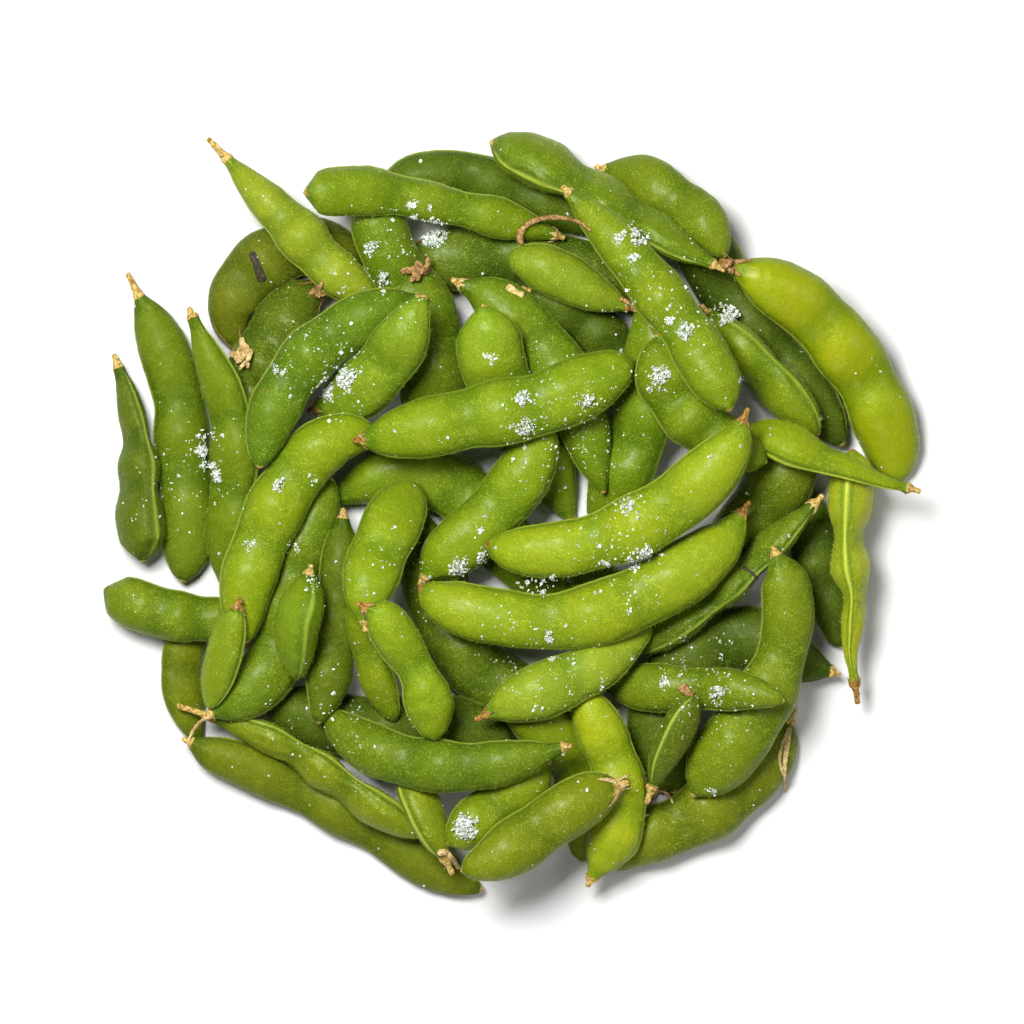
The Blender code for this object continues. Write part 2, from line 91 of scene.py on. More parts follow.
class Wiring:
    """Adds nodes to a tree and joins them, so that a recipe reads as one line for each node."""

    def __init__(self, tree: bpy.types.NodeTree) -> None:
        """Start on an empty tree.

        Args:
            tree: The node tree to fill; whatever it holds is removed.
        """
        self.tree = tree
        tree.nodes.clear()

    def add(self, kind: str, settings: dict[str, Any] | None = None, **inputs: Any) -> bpy.types.Node:
        """Add a node and feed it.

        Args:
            kind: The node's bl_idname.
            settings: Properties of the node itself, such as its operation.
            **inputs: Values or output sockets by input name, with spaces written as underscores.

        Returns:
            The new node.
        """
        node = self.tree.nodes.new(kind)
        for name, value in (settings or {}).items():
            setattr(node, name, value)
        for name, value in inputs.items():
            self.feed(self.socket(node, name.replace("_", " ")), value)
        return node

    @staticmethod
    def socket(node: bpy.types.Node, name: str) -> bpy.types.NodeSocket:
        """The enabled input of that name, or the input of that number when the name is like 'in 1'."""
        if name.startswith("in "):
            return node.inputs[int(name[3:])]
        return next(s for s in node.inputs if s.name == name and s.enabled)

    def feed(self, socket: bpy.types.NodeSocket, value: Any) -> None:
        """Join an output to a socket, or set the socket's value."""
        if isinstance(value, bpy.types.NodeSocket):
            self.tree.links.new(value, socket)
        elif isinstance(value, tuple) and socket.type == "RGBA" and len(value) == 3:
            socket.default_value = (*value, 1.0)
        else:
            socket.default_value = value

    def math(self, operation: str, first: Any, second: Any = 0.0, clamp: bool = False) -> Any:
        """One Math node's result.

        Args:
            operation: The node's operation.
            first: A number or a socket.
            second: A number or a socket.
            clamp: Whether the result is held between 0 and 1.

        Returns:
            The result's socket.
        """
        kind = "ShaderNodeMath"
        node = self.add(kind, {"operation": operation, "use_clamp": clamp}, in_0=first, in_1=second)
        return node.outputs[0]

    def spread(self, value: Any, low: float, high: float, to_low: float = 0.0, to_high: float = 1.0) -> Any:
        """A value remapped smoothly from one range to another and held at its ends."""
        node = self.add(
            "ShaderNodeMapRange",
            {"interpolation_type": "SMOOTHSTEP", "clamp": True},
            Value=value,
            From_Min=low,
            From_Max=high,
            To_Min=to_low,
            To_Max=to_high,
        )
        return node.outputs[0]

    def mix(self, share: Any, first: Any, second: Any, blend: str = "MIX") -> bpy.types.NodeSocket:
        """Two colours mixed by a share.

        Args:
            share: How much of the second colour.
            first: A colour or a socket.
            second: A colour or a socket.
            blend: How the second is laid over the first.

        Returns:
            The colour's socket.
        """
        node = self.tree.nodes.new("ShaderNodeMix")
        node.data_type = "RGBA"
        node.blend_type = blend
        node.clamp_factor = True
        self.feed(node.inputs[0], share)
        self.feed(node.inputs[6], first)
        self.feed(node.inputs[7], second)
        return node.outputs[2]

    def named(self, name: str, kind: str = "FLOAT") -> bpy.types.NodeSocket:
        """A mesh attribute in a Geometry Nodes tree, by its name."""
        node = self.add("GeometryNodeInputNamedAttribute", {"data_type": kind}, Name=name)
        return node.outputs["Attribute"]

    def random(self, low: Any, high: Any, seed: Any = 0) -> bpy.types.NodeSocket:
        """A random number or vector for each point.

        Args:
            low: The least value: a number, or a tuple for a vector.
            high: The greatest value.
            seed: Fixes the draw.

        Returns:
            The value's socket.
        """
        vector = isinstance(low, tuple)
        node = self.add("FunctionNodeRandomValue", {"data_type": "FLOAT_VECTOR" if vector else "FLOAT"})
        low_input = 0 if vector else 2
        self.feed(node.inputs[low_input], low)
        self.feed(node.inputs[low_input + 1], high)
        self.feed(self.socket(node, "Seed"), seed)
        return node.outputs[0 if vector else 1]

    def noise(self, place: Any, scale: float, detail: float, roughness: float) -> bpy.types.NodeSocket:
        """The value of a Noise texture, from 0 to 1."""
        settings = {"Vector": place, "Scale": scale, "Detail": detail, "Roughness": roughness}
        return self.add("ShaderNodeTexNoise", None, **settings).outputs["Fac"]

    def attribute(self, name: str) -> bpy.types.NodeSocket:
        """The value of a mesh attribute."""
        return self.add("ShaderNodeAttribute", {"attribute_name": name}).outputs["Fac"]


# --------------------------------------------------------------------------------------------------
# Finishes
# --------------------------------------------------------------------------------------------------


def blank_material(name: str) -> tuple[bpy.types.Material, Wiring]:
    """Start a material with an empty node tree.

    Args:
        name: The material's name.

    Returns:
        The material, and the wiring of its tree.
    """
    made = bpy.data.materials.new(name)
    made.use_nodes = True
    return made, Wiring(made.node_tree)


def started_tree(name: str, inputs: dict[str, str]) -> tuple[Wiring, Any]:
    """Start a Geometry Nodes tree that takes geometry and gives geometry.

    Args:
        name: The tree's name.
        inputs: Its further inputs: the kind of socket for each name.

    Returns:
        The tree's wiring, and the sockets that carry its inputs.
    """
    tree = bpy.data.node_groups.new(name, "GeometryNodeTree")
    for title, kind in {"Geometry": "Geometry", **inputs}.items():
        tree.interface.new_socket(title, in_out="INPUT", socket_type="NodeSocket" + kind)
    tree.interface.new_socket("Geometry", in_out="OUTPUT", socket_type="NodeSocketGeometry")
    w = Wiring(tree)
    return w, w.add("NodeGroupInput").outputs


def through_nodes(obj: bpy.types.Object, tree: bpy.types.NodeTree, given: dict[str, Any]) -> bpy.types.Mesh:
    """Run an object through a Geometry Nodes tree and take the modifier off again.

    Args:
        obj: The object, whose own mesh stays as it is.
        tree: The node tree.
        given: Values for the tree's inputs, by name.

    Returns:
        The result as a plain mesh.
    """
    modifier = obj.modifiers.new(tree.name, "NODES")
    modifier.node_group = tree
    for item in tree.interface.items_tree:
        if item.in_out == "INPUT" and item.name in given:
            modifier[item.identifier] = given[item.name]
    bpy.context.view_layer.update()
    graph = bpy.context.evaluated_depsgraph_get()
    mesh = bpy.data.meshes.new_from_object(obj.evaluated_get(graph))
    obj.modifiers.clear()
    return mesh


def linked(name: str, data: bpy.types.ID) -> bpy.types.Object:
    """Make an object of a mesh or a light and put it in the scene.

    Args:
        name: The object's name.
        data: Its mesh or its light.

    Returns:
        The new object, at the origin.
    """
    obj = bpy.data.objects.new(name, data)
    bpy.context.scene.collection.objects.link(obj)
    return obj


def unit(rows: Table) -> Table:
    """Each row made one long."""
    return rows / np.maximum(np.linalg.norm(rows, axis=1), 1e-9)[:, None]


@dataclass(frozen=True)
class PodSkin:
    """Boiled pod skin: paler over the beans, greener in the valleys, pale along the seams, dry at the stem.

    Attributes:
        surface: Which kind of skin it is.
        roughness: Its mean roughness.
        wet: How much of it is covered by a film of water.
        flecks: How much pale down shows as flecks; the flecks are partly painted sheen of the down.
        scars: How much brown spotting there is.
        sheen: How much its edges shine through the down.
        mottle: How blotchy its colour is, as a share of the usual.
    """

    surface: Surface
    roughness: float
    wet: float
    flecks: float
    scars: float
    sheen: float
    mottle: float = 0.55

    def material(self) -> bpy.types.Material:
        """Build the skin's material.

        Returns:
            A material that reads the pods' own attributes and Object coordinates.
        """
        made, w = blank_material(f"pod_skin_{self.surface.value}")
        place = w.add("ShaderNodeTexCoord").outputs["Object"]
        broad = w.noise(place, 95.0, 2.0, 0.5)
        patch = w.noise(place, 330.0, 3.0, 0.6)
        grain = w.noise(place, 1500.0, 2.0, 0.7)
        fuzz = w.noise(place, 3800.0, 1.0, 0.5)
        colour, dry = self._colour(w, place, broad, patch, grain, fuzz)

        rough = w.spread(grain, 0.3, 0.7, self.roughness - 0.08, self.roughness + 0.14)
        rough = w.math("MAXIMUM", rough, w.math("MULTIPLY", dry, 0.8))
        film = w.spread(patch, 0.35, 0.62, 0.35 * self.wet, self.wet)
        film = w.math("MULTIPLY", film, w.math("SUBTRACT", 1.0, dry))
        fine = w.add("ShaderNodeBump", Strength=0.5, Distance=0.00012, Height=fuzz).outputs["Normal"]
        skin = w.add("ShaderNodeBump", Strength=0.55, Distance=0.0003, Height=grain, Normal=fine)
        skin = skin.outputs["Normal"]
        swell = w.add("ShaderNodeBump", Strength=0.4, Distance=0.0008, Height=patch, Normal=skin)
        swell = swell.outputs["Normal"]
        shader = w.add(
            "ShaderNodeBsdfPrincipled",
            Base_Color=colour,
            Roughness=rough,
            Normal=swell,
            Specular_IOR_Level=0.32,
            Specular_Tint=(0.80, 1.0, 0.25),
            Coat_Weight=film,
            Coat_Roughness=0.24,
            Coat_Tint=(0.95, 1.0, 0.60),
            Sheen_Weight=self.sheen,
            Sheen_Roughness=0.45,
            Sheen_Tint=(0.70, 0.90, 0.15),
            Subsurface_Weight=0.08,
            Subsurface_Radius=(1.0, 1.3, 0.2),
            Subsurface_Scale=0.001,
        )
        w.add("ShaderNodeOutputMaterial", Surface=shader.outputs[0])
        return made

    def _colour(
        self, w: Wiring, place: Any, broad: Any, patch: Any, grain: Any, fuzz: Any
    ) -> tuple[Any, Any]:
        """Mix the skin's colour.

        Args:
            w: The material's wiring.
            place: Object coordinates.
            broad: Noise some ten millimetres across.
            patch: Noise of about three millimetres.
            grain: Noise of under a millimetre.
            fuzz: The finest noise; not used.

        Returns:
            The colour, and how dry the pod is.
        """
        tint = w.add("ShaderNodeAttribute", {"attribute_name": "tint"}).outputs["Color"]
        # Deep green for the veins and dark mottle, and painted shade towards the seams, the ends and between
        # the beans.
        deep_green_and_shade = w.mix(1.0, tint, (0.52, 0.66, 0.45), "MULTIPLY")
        lighter = w.mix(1.0, tint, (1.45, 1.35, 1.2), "MULTIPLY")
        pale = w.mix(0.10, lighter, (0.56, 0.68, 0.07))
        yellow = w.mix(1.0, tint, (1.22, 1.08, 0.85), "MULTIPLY")
        blue = w.mix(1.0, tint, (0.78, 0.94, 1.0), "MULTIPLY")
        tone = w.mix(w.spread(broad, 0.52, 0.70, 0.0, 0.5), tint, yellow)
        tone = w.mix(w.spread(broad, 0.48, 0.32, 0.0, 0.5), tone, blue)
        uneven = w.math("MULTIPLY", w.math("SUBTRACT", patch, 0.5), 0.7 * self.mottle)
        # Darker where the crown value is low: partly the skin's own colour, partly painted shade towards the
        # seams and ends.
        lift = w.math("ADD", w.attribute("crown"), uneven, clamp=True)
        colour = w.mix(w.spread(lift, 0.05, 0.75), deep_green_and_shade, tone)
        colour = w.mix(w.spread(patch, 0.52, 0.72, 0.0, 0.45 * self.mottle), colour, pale)
        veins = w.add("ShaderNodeTexVoronoi", {"feature": "DISTANCE_TO_EDGE"}, Vector=place, Scale=420.0)
        near_vein = w.spread(veins.outputs["Distance"], 0.0, 0.12, 0.16 * self.mottle, 0.0)
        colour = w.mix(near_vein, colour, deep_green_and_shade)
        colour = w.mix(w.spread(grain, 0.50, 0.72, 0.0, 0.40 * self.mottle), colour, pale)
        colour = w.mix(w.spread(grain, 0.48, 0.28, 0.0, 0.34 * self.mottle), colour, deep_green_and_shade)
        # Pale flecks: the down's own pale colour, and partly painted sheen of the down.
        thick = w.spread(patch, 0.38, 0.62, 0.3 * self.flecks, self.flecks)
        down = w.math("MULTIPLY", w.spread(w.noise(place, 2800.0, 1.0, 0.5), 0.57, 0.68), thick)
        colour = w.mix(down, colour, w.mix(0.4, lighter, (0.62, 0.75, 0.13)))
        # Pale along the seams: partly the seams' own paler colour, partly painted sheen along the pods'
        # edges.
        seam = w.mix(0.5, tint, (0.62, 0.72, 0.10))
        colour = w.mix(w.math("MULTIPLY", w.attribute("seam"), 0.95), colour, seam)
        # Painted shade: near-black green in the furrow beside each keel.
        colour = w.mix(w.attribute("groove"), colour, (0.06, 0.12, 0.01))

        spot = w.noise(place, 210.0, 4.0, 0.62)
        scar = w.math("MULTIPLY", w.spread(spot, 0.69, 0.76), self.scars)
        colour = w.mix(scar, colour, (0.25, 0.15, 0.03))
        ragged = w.math("ADD", w.attribute("dry"), w.math("MULTIPLY", w.math("SUBTRACT", patch, 0.5), 0.9))
        dry = w.spread(ragged, 0.35, 0.6)
        bark = w.mix(w.spread(grain, 0.3, 0.7), (0.20, 0.10, 0.02), (0.74, 0.53, 0.17))
        brown = w.mix(w.spread(grain, 0.3, 0.7), (0.09, 0.035, 0.008), (0.48, 0.25, 0.06))
        bark = w.mix(w.attribute("brown"), bark, brown)
        return w.mix(dry, colour, bark), dry


@dataclass(frozen=True)
class SaltFinish:
    """Damp salt: white where it is broken, glassy where it is whole.

    Attributes:
        body: The colour where the salt is broken.
        roughness: How dull the smoothest grains are.
    """

    body: Colour = (0.90, 0.94, 0.88)
    roughness: float = 0.28

    def material(self) -> bpy.types.Material:
        """Build the salt's material.

        Returns:
            The finished material.
        """
        made, w = blank_material("salt")
        place = w.add("ShaderNodeTexCoord").outputs["Object"]
        cloud = w.add("ShaderNodeTexNoise", Vector=place, Scale=1400.0, Detail=2.0).outputs["Fac"]
        colour = w.mix(w.spread(cloud, 0.35, 0.65), (0.40, 0.47, 0.35), self.body)
        rough = w.spread(cloud, 0.3, 0.7, self.roughness, self.roughness + 0.25)
        facets = w.add("ShaderNodeBump", Strength=0.4, Distance=0.0001, Height=cloud).outputs["Normal"]
        shader = w.add(
            "ShaderNodeBsdfPrincipled",
            Base_Color=colour,
            Roughness=rough,
            Normal=facets,
            IOR=1.54,
            Transmission_Weight=0.1,
        )
        w.add("ShaderNodeOutputMaterial", Surface=shader.outputs[0])
        return made


@dataclass(frozen=True)
class DownFinish:
    """The short pale hairs on a pod.

    Attributes:
        colour: The colour mixed into each pod's own.
    """

    colour: Colour = (0.50, 0.62, 0.08)

    def material(self) -> bpy.types.Material:
        """Build the hairs' material.

        Returns:
            The finished material.
        """
        made, w = blank_material("down")
        tint = w.add("ShaderNodeAttribute", {"attribute_name": "tint"}).outputs["Color"]
        # The pod's tint, painted light and shade included, carries into its hairs.
        colour = w.mix(0.35, tint, self.colour)
        shader = w.add("ShaderNodeBsdfPrincipled", Base_Color=colour, Roughness=0.55, Specular_IOR_Level=0.15)
        w.add("ShaderNodeOutputMaterial", Surface=shader.outputs[0])
        return made


@dataclass(frozen=True)
class HuskAndShadeFinish:
    """Dry plant matter: papery flower remains and stalks, and a near-black painted shade for the hollow
    inside torn or slit pods.

    Attributes:
        name: The material's name.
        dark: Its darker colour, laid by the grain and in blotches.
        light: The colour where it is bleached.
    """

    name: str
    dark: Colour
    light: Colour

    def material(self) -> bpy.types.Material:
        """Build the husk's material.

        Returns:
            The finished material.
        """
        made, w = blank_material(self.name)
        place = w.add("ShaderNodeTexCoord").outputs["Object"]
        grain = w.noise(place, 1600.0, 3.0, 0.7)
        blotch = w.noise(place, 420.0, 2.0, 0.5)
        colour = w.mix(w.spread(grain, 0.3, 0.7), self.dark, self.light)
        colour = w.mix(w.spread(blotch, 0.5, 0.7, 0.0, 0.6), colour, self.dark)
        crisp = w.add("ShaderNodeBump", Strength=0.6, Distance=0.0002, Height=grain).outputs["Normal"]
        shader = w.add("ShaderNodeBsdfPrincipled", Base_Color=colour, Roughness=0.78, Normal=crisp)
        w.add("ShaderNodeOutputMaterial", Surface=shader.outputs[0])
        return made


@dataclass(frozen=True)
class TableFinish:
    """The plain pale ground.

    Attributes:
        colour: The ground's colour.
    """

    colour: Colour = (0.72, 0.72, 0.71)

    def material(self) -> bpy.types.Material:
        """Build the ground's material.

        Returns:
            The finished material.
        """
        made, w = blank_material("table")
        shader = w.add("ShaderNodeBsdfPrincipled", Base_Color=self.colour, Roughness=0.7)
        w.add("ShaderNodeOutputMaterial", Surface=shader.outputs[0])
        return made


SKINS = (
    PodSkin(Surface.FRESH, roughness=0.44, wet=0.10, flecks=0.62, scars=0.5, sheen=0.10),
    PodSkin(Surface.DULL, roughness=0.52, wet=0.04, flecks=0.30, scars=0.8, sheen=0.06),
    PodSkin(Surface.GLOSSY, roughness=0.32, wet=0.25, flecks=0.05, scars=0.4, sheen=0.02, mottle=0.35),
)

HUSKS_AND_SHADE = {
    Dry.TAN: HuskAndShadeFinish("husk_tan", (0.30, 0.17, 0.04), (0.80, 0.62, 0.28)),
    Dry.BROWN: HuskAndShadeFinish("husk_brown", (0.12, 0.05, 0.012), (0.55, 0.33, 0.11)),
    # Near black: painted shade laid where a pod is torn or slit open.
    Dry.DARK: HuskAndShadeFinish("torn_skin", (0.004, 0.003, 0.001), (0.07, 0.05, 0.012)),
}


# --------------------------------------------------------------------------------------------------
# Pods
# --------------------------------------------------------------------------------------------------


@dataclass(frozen=True)
class Look:
    """How one pod differs from the next.

    Attributes:
        tint: Its green over the beans, with painted light and shade in it: darker for a pod that lies low in
            shade, brighter for one in the light.
        surface: Whether it is downy, dull or glossy.
        dry: What its stem end looks like.
        reach: How far the dry end runs up the pod, in millimetres.
        husk: Length of the dry sepals round the neck, in millimetres; 0 for none.
        ribs: Depth of the lengthwise wrinkles of a pod that has few beans, in millimetres; 0 for none.
        swell: How much its beans stand out, as a share of the usual.
    """

    tint: Colour
    surface: Surface = Surface.FRESH
    dry: Dry = Dry.TAN
    reach: float = 1.0
    husk: float = 0.0
    ribs: float = 0.0
    swell: float = 1.0


# The three colour numbers of each row were worked out by another program and then adjusted by a second one.
# Only the rest of each row was chosen one by one.
# Each tint is the pod's own green with painted light and shade in it: pods that lie low and in shade got
# darker tints, pods in the light brighter ones.
LOOKS: dict[str, Look] = {
    "dark_right": Look((0.045, 0.075, 0.003), Surface.DULL),
    "right_under": Look((0.045, 0.075, 0.003), Surface.DULL),
    "right_inner": Look((0.091, 0.125, 0.003)),
    "upper_right_under": Look((0.045, 0.075, 0.003), Surface.DULL),
    "top_under": Look((0.052, 0.086, 0.003), Surface.DULL),
    "top_inner": Look((0.054, 0.090, 0.003), Surface.FRESH, Dry.BROWN, 2.5, 8.0),
    "top_mid_under": Look((0.045, 0.075, 0.003), Surface.DULL),
    "mid_upright": Look((0.110, 0.178, 0.003)),
    "mid_under": Look((0.123, 0.188, 0.003)),
    "low_mid_under": Look((0.078, 0.118, 0.003)),
    "low_under": Look((0.131, 0.184, 0.003), Surface.DULL),
    "left_low": Look((0.116, 0.138, 0.003), Surface.DULL),
    "left_flat": Look((0.105, 0.154, 0.003), swell=0.3),
    "rim_long": Look((0.110, 0.131, 0.003), Surface.DULL, Dry.TAN, 1.0, swell=2.2),
    "rim_right_low": Look((0.122, 0.145, 0.003), Surface.FRESH, Dry.TAN, 2.0, swell=1.3),
    "low_left_under": Look((0.045, 0.075, 0.003), Surface.DULL),
    "left_high": Look((0.091, 0.108, 0.003), Surface.DULL, Dry.BROWN, 3.0, 9.0),
    "left_between": Look((0.062, 0.095, 0.003), Surface.FRESH, Dry.BROWN, 2.0, 5.5),
    "rim_left": Look((0.095, 0.143, 0.003), Surface.DULL, Dry.TAN, 1.5),
    "far_left": Look((0.068, 0.101, 0.003), Surface.DULL),
    "left_slim": Look((0.111, 0.163, 0.003), Surface.DULL),
    "low_left_over": Look((0.136, 0.172, 0.003), Surface.FRESH, Dry.TAN, 2.0, 0.0, 0.12, swell=1.5),
    "low_short": Look((0.136, 0.175, 0.003), Surface.FRESH, Dry.TAN, 1.5),
    "low_round": Look((0.136, 0.189, 0.003)),
    "low_left_wide": Look((0.093, 0.145, 0.003)),
    "low_centre": Look((0.088, 0.138, 0.003), swell=0.6),
    "low_left_upright": Look((0.071, 0.105, 0.003), Surface.DULL),
    "low_slim": Look((0.142, 0.192, 0.003), Surface.FRESH, Dry.BROWN, 1.5, 2.0),
    "left_front": Look((0.173, 0.242, 0.005)),
    "single_bean": Look((0.128, 0.199, 0.003), Surface.DULL),
    "bridge_left": Look((0.089, 0.142, 0.003)),
    "rim_top_left": Look((0.195, 0.241, 0.010)),
    "top_left": Look((0.121, 0.180, 0.003), Surface.FRESH, Dry.TAN, 1.0, 2.0),
    "dark_diagonal": Look((0.102, 0.162, 0.003), Surface.FRESH, Dry.TAN, 1.0, 2.0),
    "top_small": Look((0.160, 0.221, 0.008), Surface.FRESH, Dry.BROWN, 1.0),
    "upright_bean": Look((0.179, 0.262, 0.009)),
    "top_right": Look((0.112, 0.156, 0.003)),
    "top_seam": Look((0.097, 0.150, 0.003), Surface.FRESH, Dry.TAN, 1.0, 0.0, 0.16),
    "right_upright": Look((0.328, 0.353, 0.014), Surface.FRESH, Dry.BROWN, 1.0, 1.8, 0.07),
    "rim_right": Look((0.243, 0.285, 0.004), Surface.GLOSSY, Dry.BROWN, 1.5, 4.0, swell=0.7),
    "right_short": Look((0.134, 0.187, 0.003), Surface.FRESH, Dry.TAN, 1.0, 0.0, 0.1),
    "right_taper": Look((0.179, 0.239, 0.003), Surface.FRESH, Dry.TAN, 1.0, 0.0, 0.13),
    "centre_right": Look((0.117, 0.172, 0.003)),
    "upper_long": Look((0.143, 0.201, 0.004), swell=1.2),
    "right_thin": Look((0.088, 0.135, 0.003), Surface.FRESH, Dry.TAN, 1.0, 2.0, 0.12),
    "centre_cross": Look((0.144, 0.211, 0.003)),
    "right_hook": Look((0.120, 0.167, 0.003)),
    "low_curve": Look((0.245, 0.298, 0.005), Surface.FRESH, Dry.TAN, 1.0, 0.0, 0.05),
    "salted_low": Look((0.109, 0.155, 0.003)),
    "twig_pod": Look((0.086, 0.120, 0.003), Surface.FRESH, Dry.TAN, 1.5, 0.0, 0.08),
    "low_leaf": Look((0.200, 0.267, 0.013), Surface.FRESH, Dry.BROWN, 0.5, 2.0),
    "centre_long": Look((0.202, 0.263, 0.006), Surface.FRESH, Dry.BROWN, 1.5, 2.0, swell=0.9),
    "centre_upper": Look((0.216, 0.281, 0.006), Surface.FRESH, Dry.BROWN, 1.2, 2.0),
    "upper_left_over": Look((0.077, 0.140, 0.003)),
    "upper_left_tip": Look((0.152, 0.224, 0.008), Surface.FRESH, Dry.BROWN, 0.5, 2.0),
    "left_arch": Look((0.167, 0.230, 0.003), Surface.FRESH, Dry.TAN, 0.5, swell=0.8),
    "left_small": Look((0.150, 0.211, 0.005), Surface.FRESH, Dry.BROWN, 1.5, 2.2),
    "left_double": Look((0.162, 0.239, 0.004), Surface.FRESH, Dry.BROWN, 1.5, 2.2, swell=1.3),
    "centre_bridge": Look((0.154, 0.224, 0.004), Surface.FRESH, Dry.BROWN, 1.2, 1.6),
    "low_right_over": Look((0.136, 0.165, 0.003), Surface.FRESH, Dry.TAN, 3.0, 4.5),
}


@dataclass
class Spine:
    """A pod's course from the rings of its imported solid: centres, and half axes to a seam and to a face.

    Attributes:
        centre: Places along the pod's middle.
        seam: The half axis to the seam at each place.
        face: The half axis to a face at each place.
    """

    centre: Table
    seam: Table
    face: Table

    @classmethod
    def read(cls, node: bpy.types.Object) -> "Spine":
        """Find the rings of a packed pod by walking its edges from the stalk's end to the tip.

        Args:
            node: The pod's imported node.

        Returns:
            The spine, with the stalk's end first and the tip last.
        """
        corners, links = cls._welded(node)
        poles = [i for i, near in enumerate(links) if len(near) == 8]
        courses = [cls._layers(links, pole) for pole in poles]
        courses = [c for c in courses if len(c[-1]) == 1]
        first = min(courses, key=lambda c: cls._bluntness(corners, c))
        rings = [cls._in_order(corners, links, layer) for layer in first[1:-1]]
        rings = cls._aligned(rings, corners[first[0][0]], corners[first[-1][0]])
        spans = np.array([[np.linalg.norm(r[k] - r[k + 4]) for k in range(4)] for r in rings[3:-1]])
        broad = int(spans.sum(axis=0).argmax())
        centre = [corners[first[0][0]], *(r.mean(axis=0) for r in rings), corners[first[-1][0]]]
        nothing = np.zeros(3)
        seam = [nothing, *((r[broad] - r[broad + 4]) / 2 for r in rings), nothing]
        face = [nothing, *((r[(broad + 2) % 8] - r[(broad + 6) % 8]) / 2 for r in rings), nothing]
        return cls(np.array(centre), np.array(seam), np.array(face))

    @staticmethod
    def _welded(node: bpy.types.Object) -> tuple[Table, list[set[int]]]:
        """The solid's distinct corners, and the corners that each one is joined to.

        Args:
            node: A packed pod, whose mesh is loose triangles.

        Returns:
            The corners, and for each one the numbers of those an edge joins it to.
        """
        raw = np.empty(len(node.data.vertices) * 3)
        node.data.vertices.foreach_get("co", raw)
        corners, index = np.unique(np.round(raw.reshape(-1, 3), 7), axis=0, return_inverse=True)
        index = index.reshape(-1)
        links: list[set[int]] = [set() for _ in corners]
        for edge in node.data.edges:
            a, b = (int(index[v]) for v in edge.vertices)
            if a != b:
                links[a].add(b)
                links[b].add(a)
        return corners, links

    @staticmethod
    def _layers(links: list[set[int]], pole: int) -> list[list[int]]:
        """Corners grouped by how many edges they are from a pole.

        Args:
            links: For each corner, the numbers of those joined to it.
            pole: The corner to start from.

        Returns:
            The corners' numbers, layer by layer, with the pole's own first.
        """
        layers, seen = [[pole]], {pole}
        while True:
            ahead = sorted({n for corner in layers[-1] for n in links[corner]} - seen)
            if not ahead:
                return layers
            seen.update(ahead)
            layers.append(ahead)

    @staticmethod
    def _bluntness(corners: Table, layers: list[list[int]]) -> float:
        """How far a pole stands off its first ring, for its size: small at the stalk, large at the tip.

        Args:
            corners: The solid's corners.
            layers: The corners' numbers by their distance from the pole.

        Returns:
            The pole's height over its first ring, as a share of the ring's mean radius.
        """
        ring = corners[layers[1]]
        middle = ring.mean(axis=0)
        standoff = np.linalg.norm(corners[layers[0][0]] - middle)
        return float(standoff / np.linalg.norm(ring - middle, axis=1).mean())

    @staticmethod
    def _in_order(corners: Table, links: list[set[int]], layer: list[int]) -> Table:
        """A ring's corners in the order in which its edges join them.

        Args:
            corners: The solid's corners.
            links: For each corner, the numbers of those joined to it.
            layer: The ring's numbers.

        Returns:
            The ring's corners, each next to the ones it is joined to.
        """
        members, order = set(layer), [layer[0]]
        while len(order) < len(layer):
            order.append(next(n for n in sorted(links[order[-1]] & members) if n not in order))
        return corners[order]

    @staticmethod
    def _aligned(rings: list[Table], start: Table, end: Table) -> list[Table]:
        """Turn every ring the same way round, and start each where the one before it starts.

        Args:
            rings: The corners of each ring, in order round it.
            start: The end before the first ring.
            end: The end after the last ring.

        Returns:
            The same rings, turned to match one another.
        """
        middles = np.array([start, *(r.mean(axis=0) for r in rings), end])
        done: list[Table] = []
        for i, ring in enumerate(rings):
            ahead = middles[i + 2] - middles[i]
            arms = ring - ring.mean(axis=0)
            turn = np.cross(arms, np.roll(arms, -1, axis=0)).sum(axis=0)
            if float(np.dot(turn, ahead)) < 0:
                ring = ring[::-1]
            if done:
                arms = ring - ring.mean(axis=0)
                arms /= np.linalg.norm(arms, axis=1)[:, None]
                last = done[-1] - done[-1].mean(axis=0)
                last /= np.linalg.norm(last, axis=1)[:, None]
                best = max(range(8), key=lambda k: float((np.roll(arms, -k, axis=0) * last).sum()))
                ring = np.roll(ring, -best, axis=0)
            done.append(ring)
        return done


def eased(knots: Table, values: Table, at: Table) -> Table:
    """A smooth curve through values at knots, which never swings past a value.

    Args:
        knots: Increasing positions.
        values: A row of numbers for each knot.
        at: Where the curve is wanted.

    Returns:
        A row of numbers for each position.
    """
    steps = np.diff(knots)[:, None]
    rise = np.diff(values, axis=0) / steps
    inner = (rise[:-1] * steps[1:] + rise[1:] * steps[:-1]) / (steps[:-1] + steps[1:])
    limit = 3 * np.minimum(np.abs(rise[:-1]), np.abs(rise[1:]))
    inner = np.where(rise[:-1] * rise[1:] > 0, np.sign(inner) * np.minimum(np.abs(inner), limit), 0.0)
    slopes = np.vstack([rise[:1], inner, rise[-1:]])
    k = np.clip(np.searchsorted(knots, at, side="right") - 1, 0, len(steps) - 1)
    h = steps[k]
    t = (at - knots[k])[:, None] / h
    return (
        (2 * t**3 - 3 * t**2 + 1) * values[k]
        + (t**3 - 2 * t**2 + t) * h * slopes[k]
        + (-2 * t**3 + 3 * t**2) * values[k + 1]
        + (t**3 - t**2) * h * slopes[k + 1]
    )


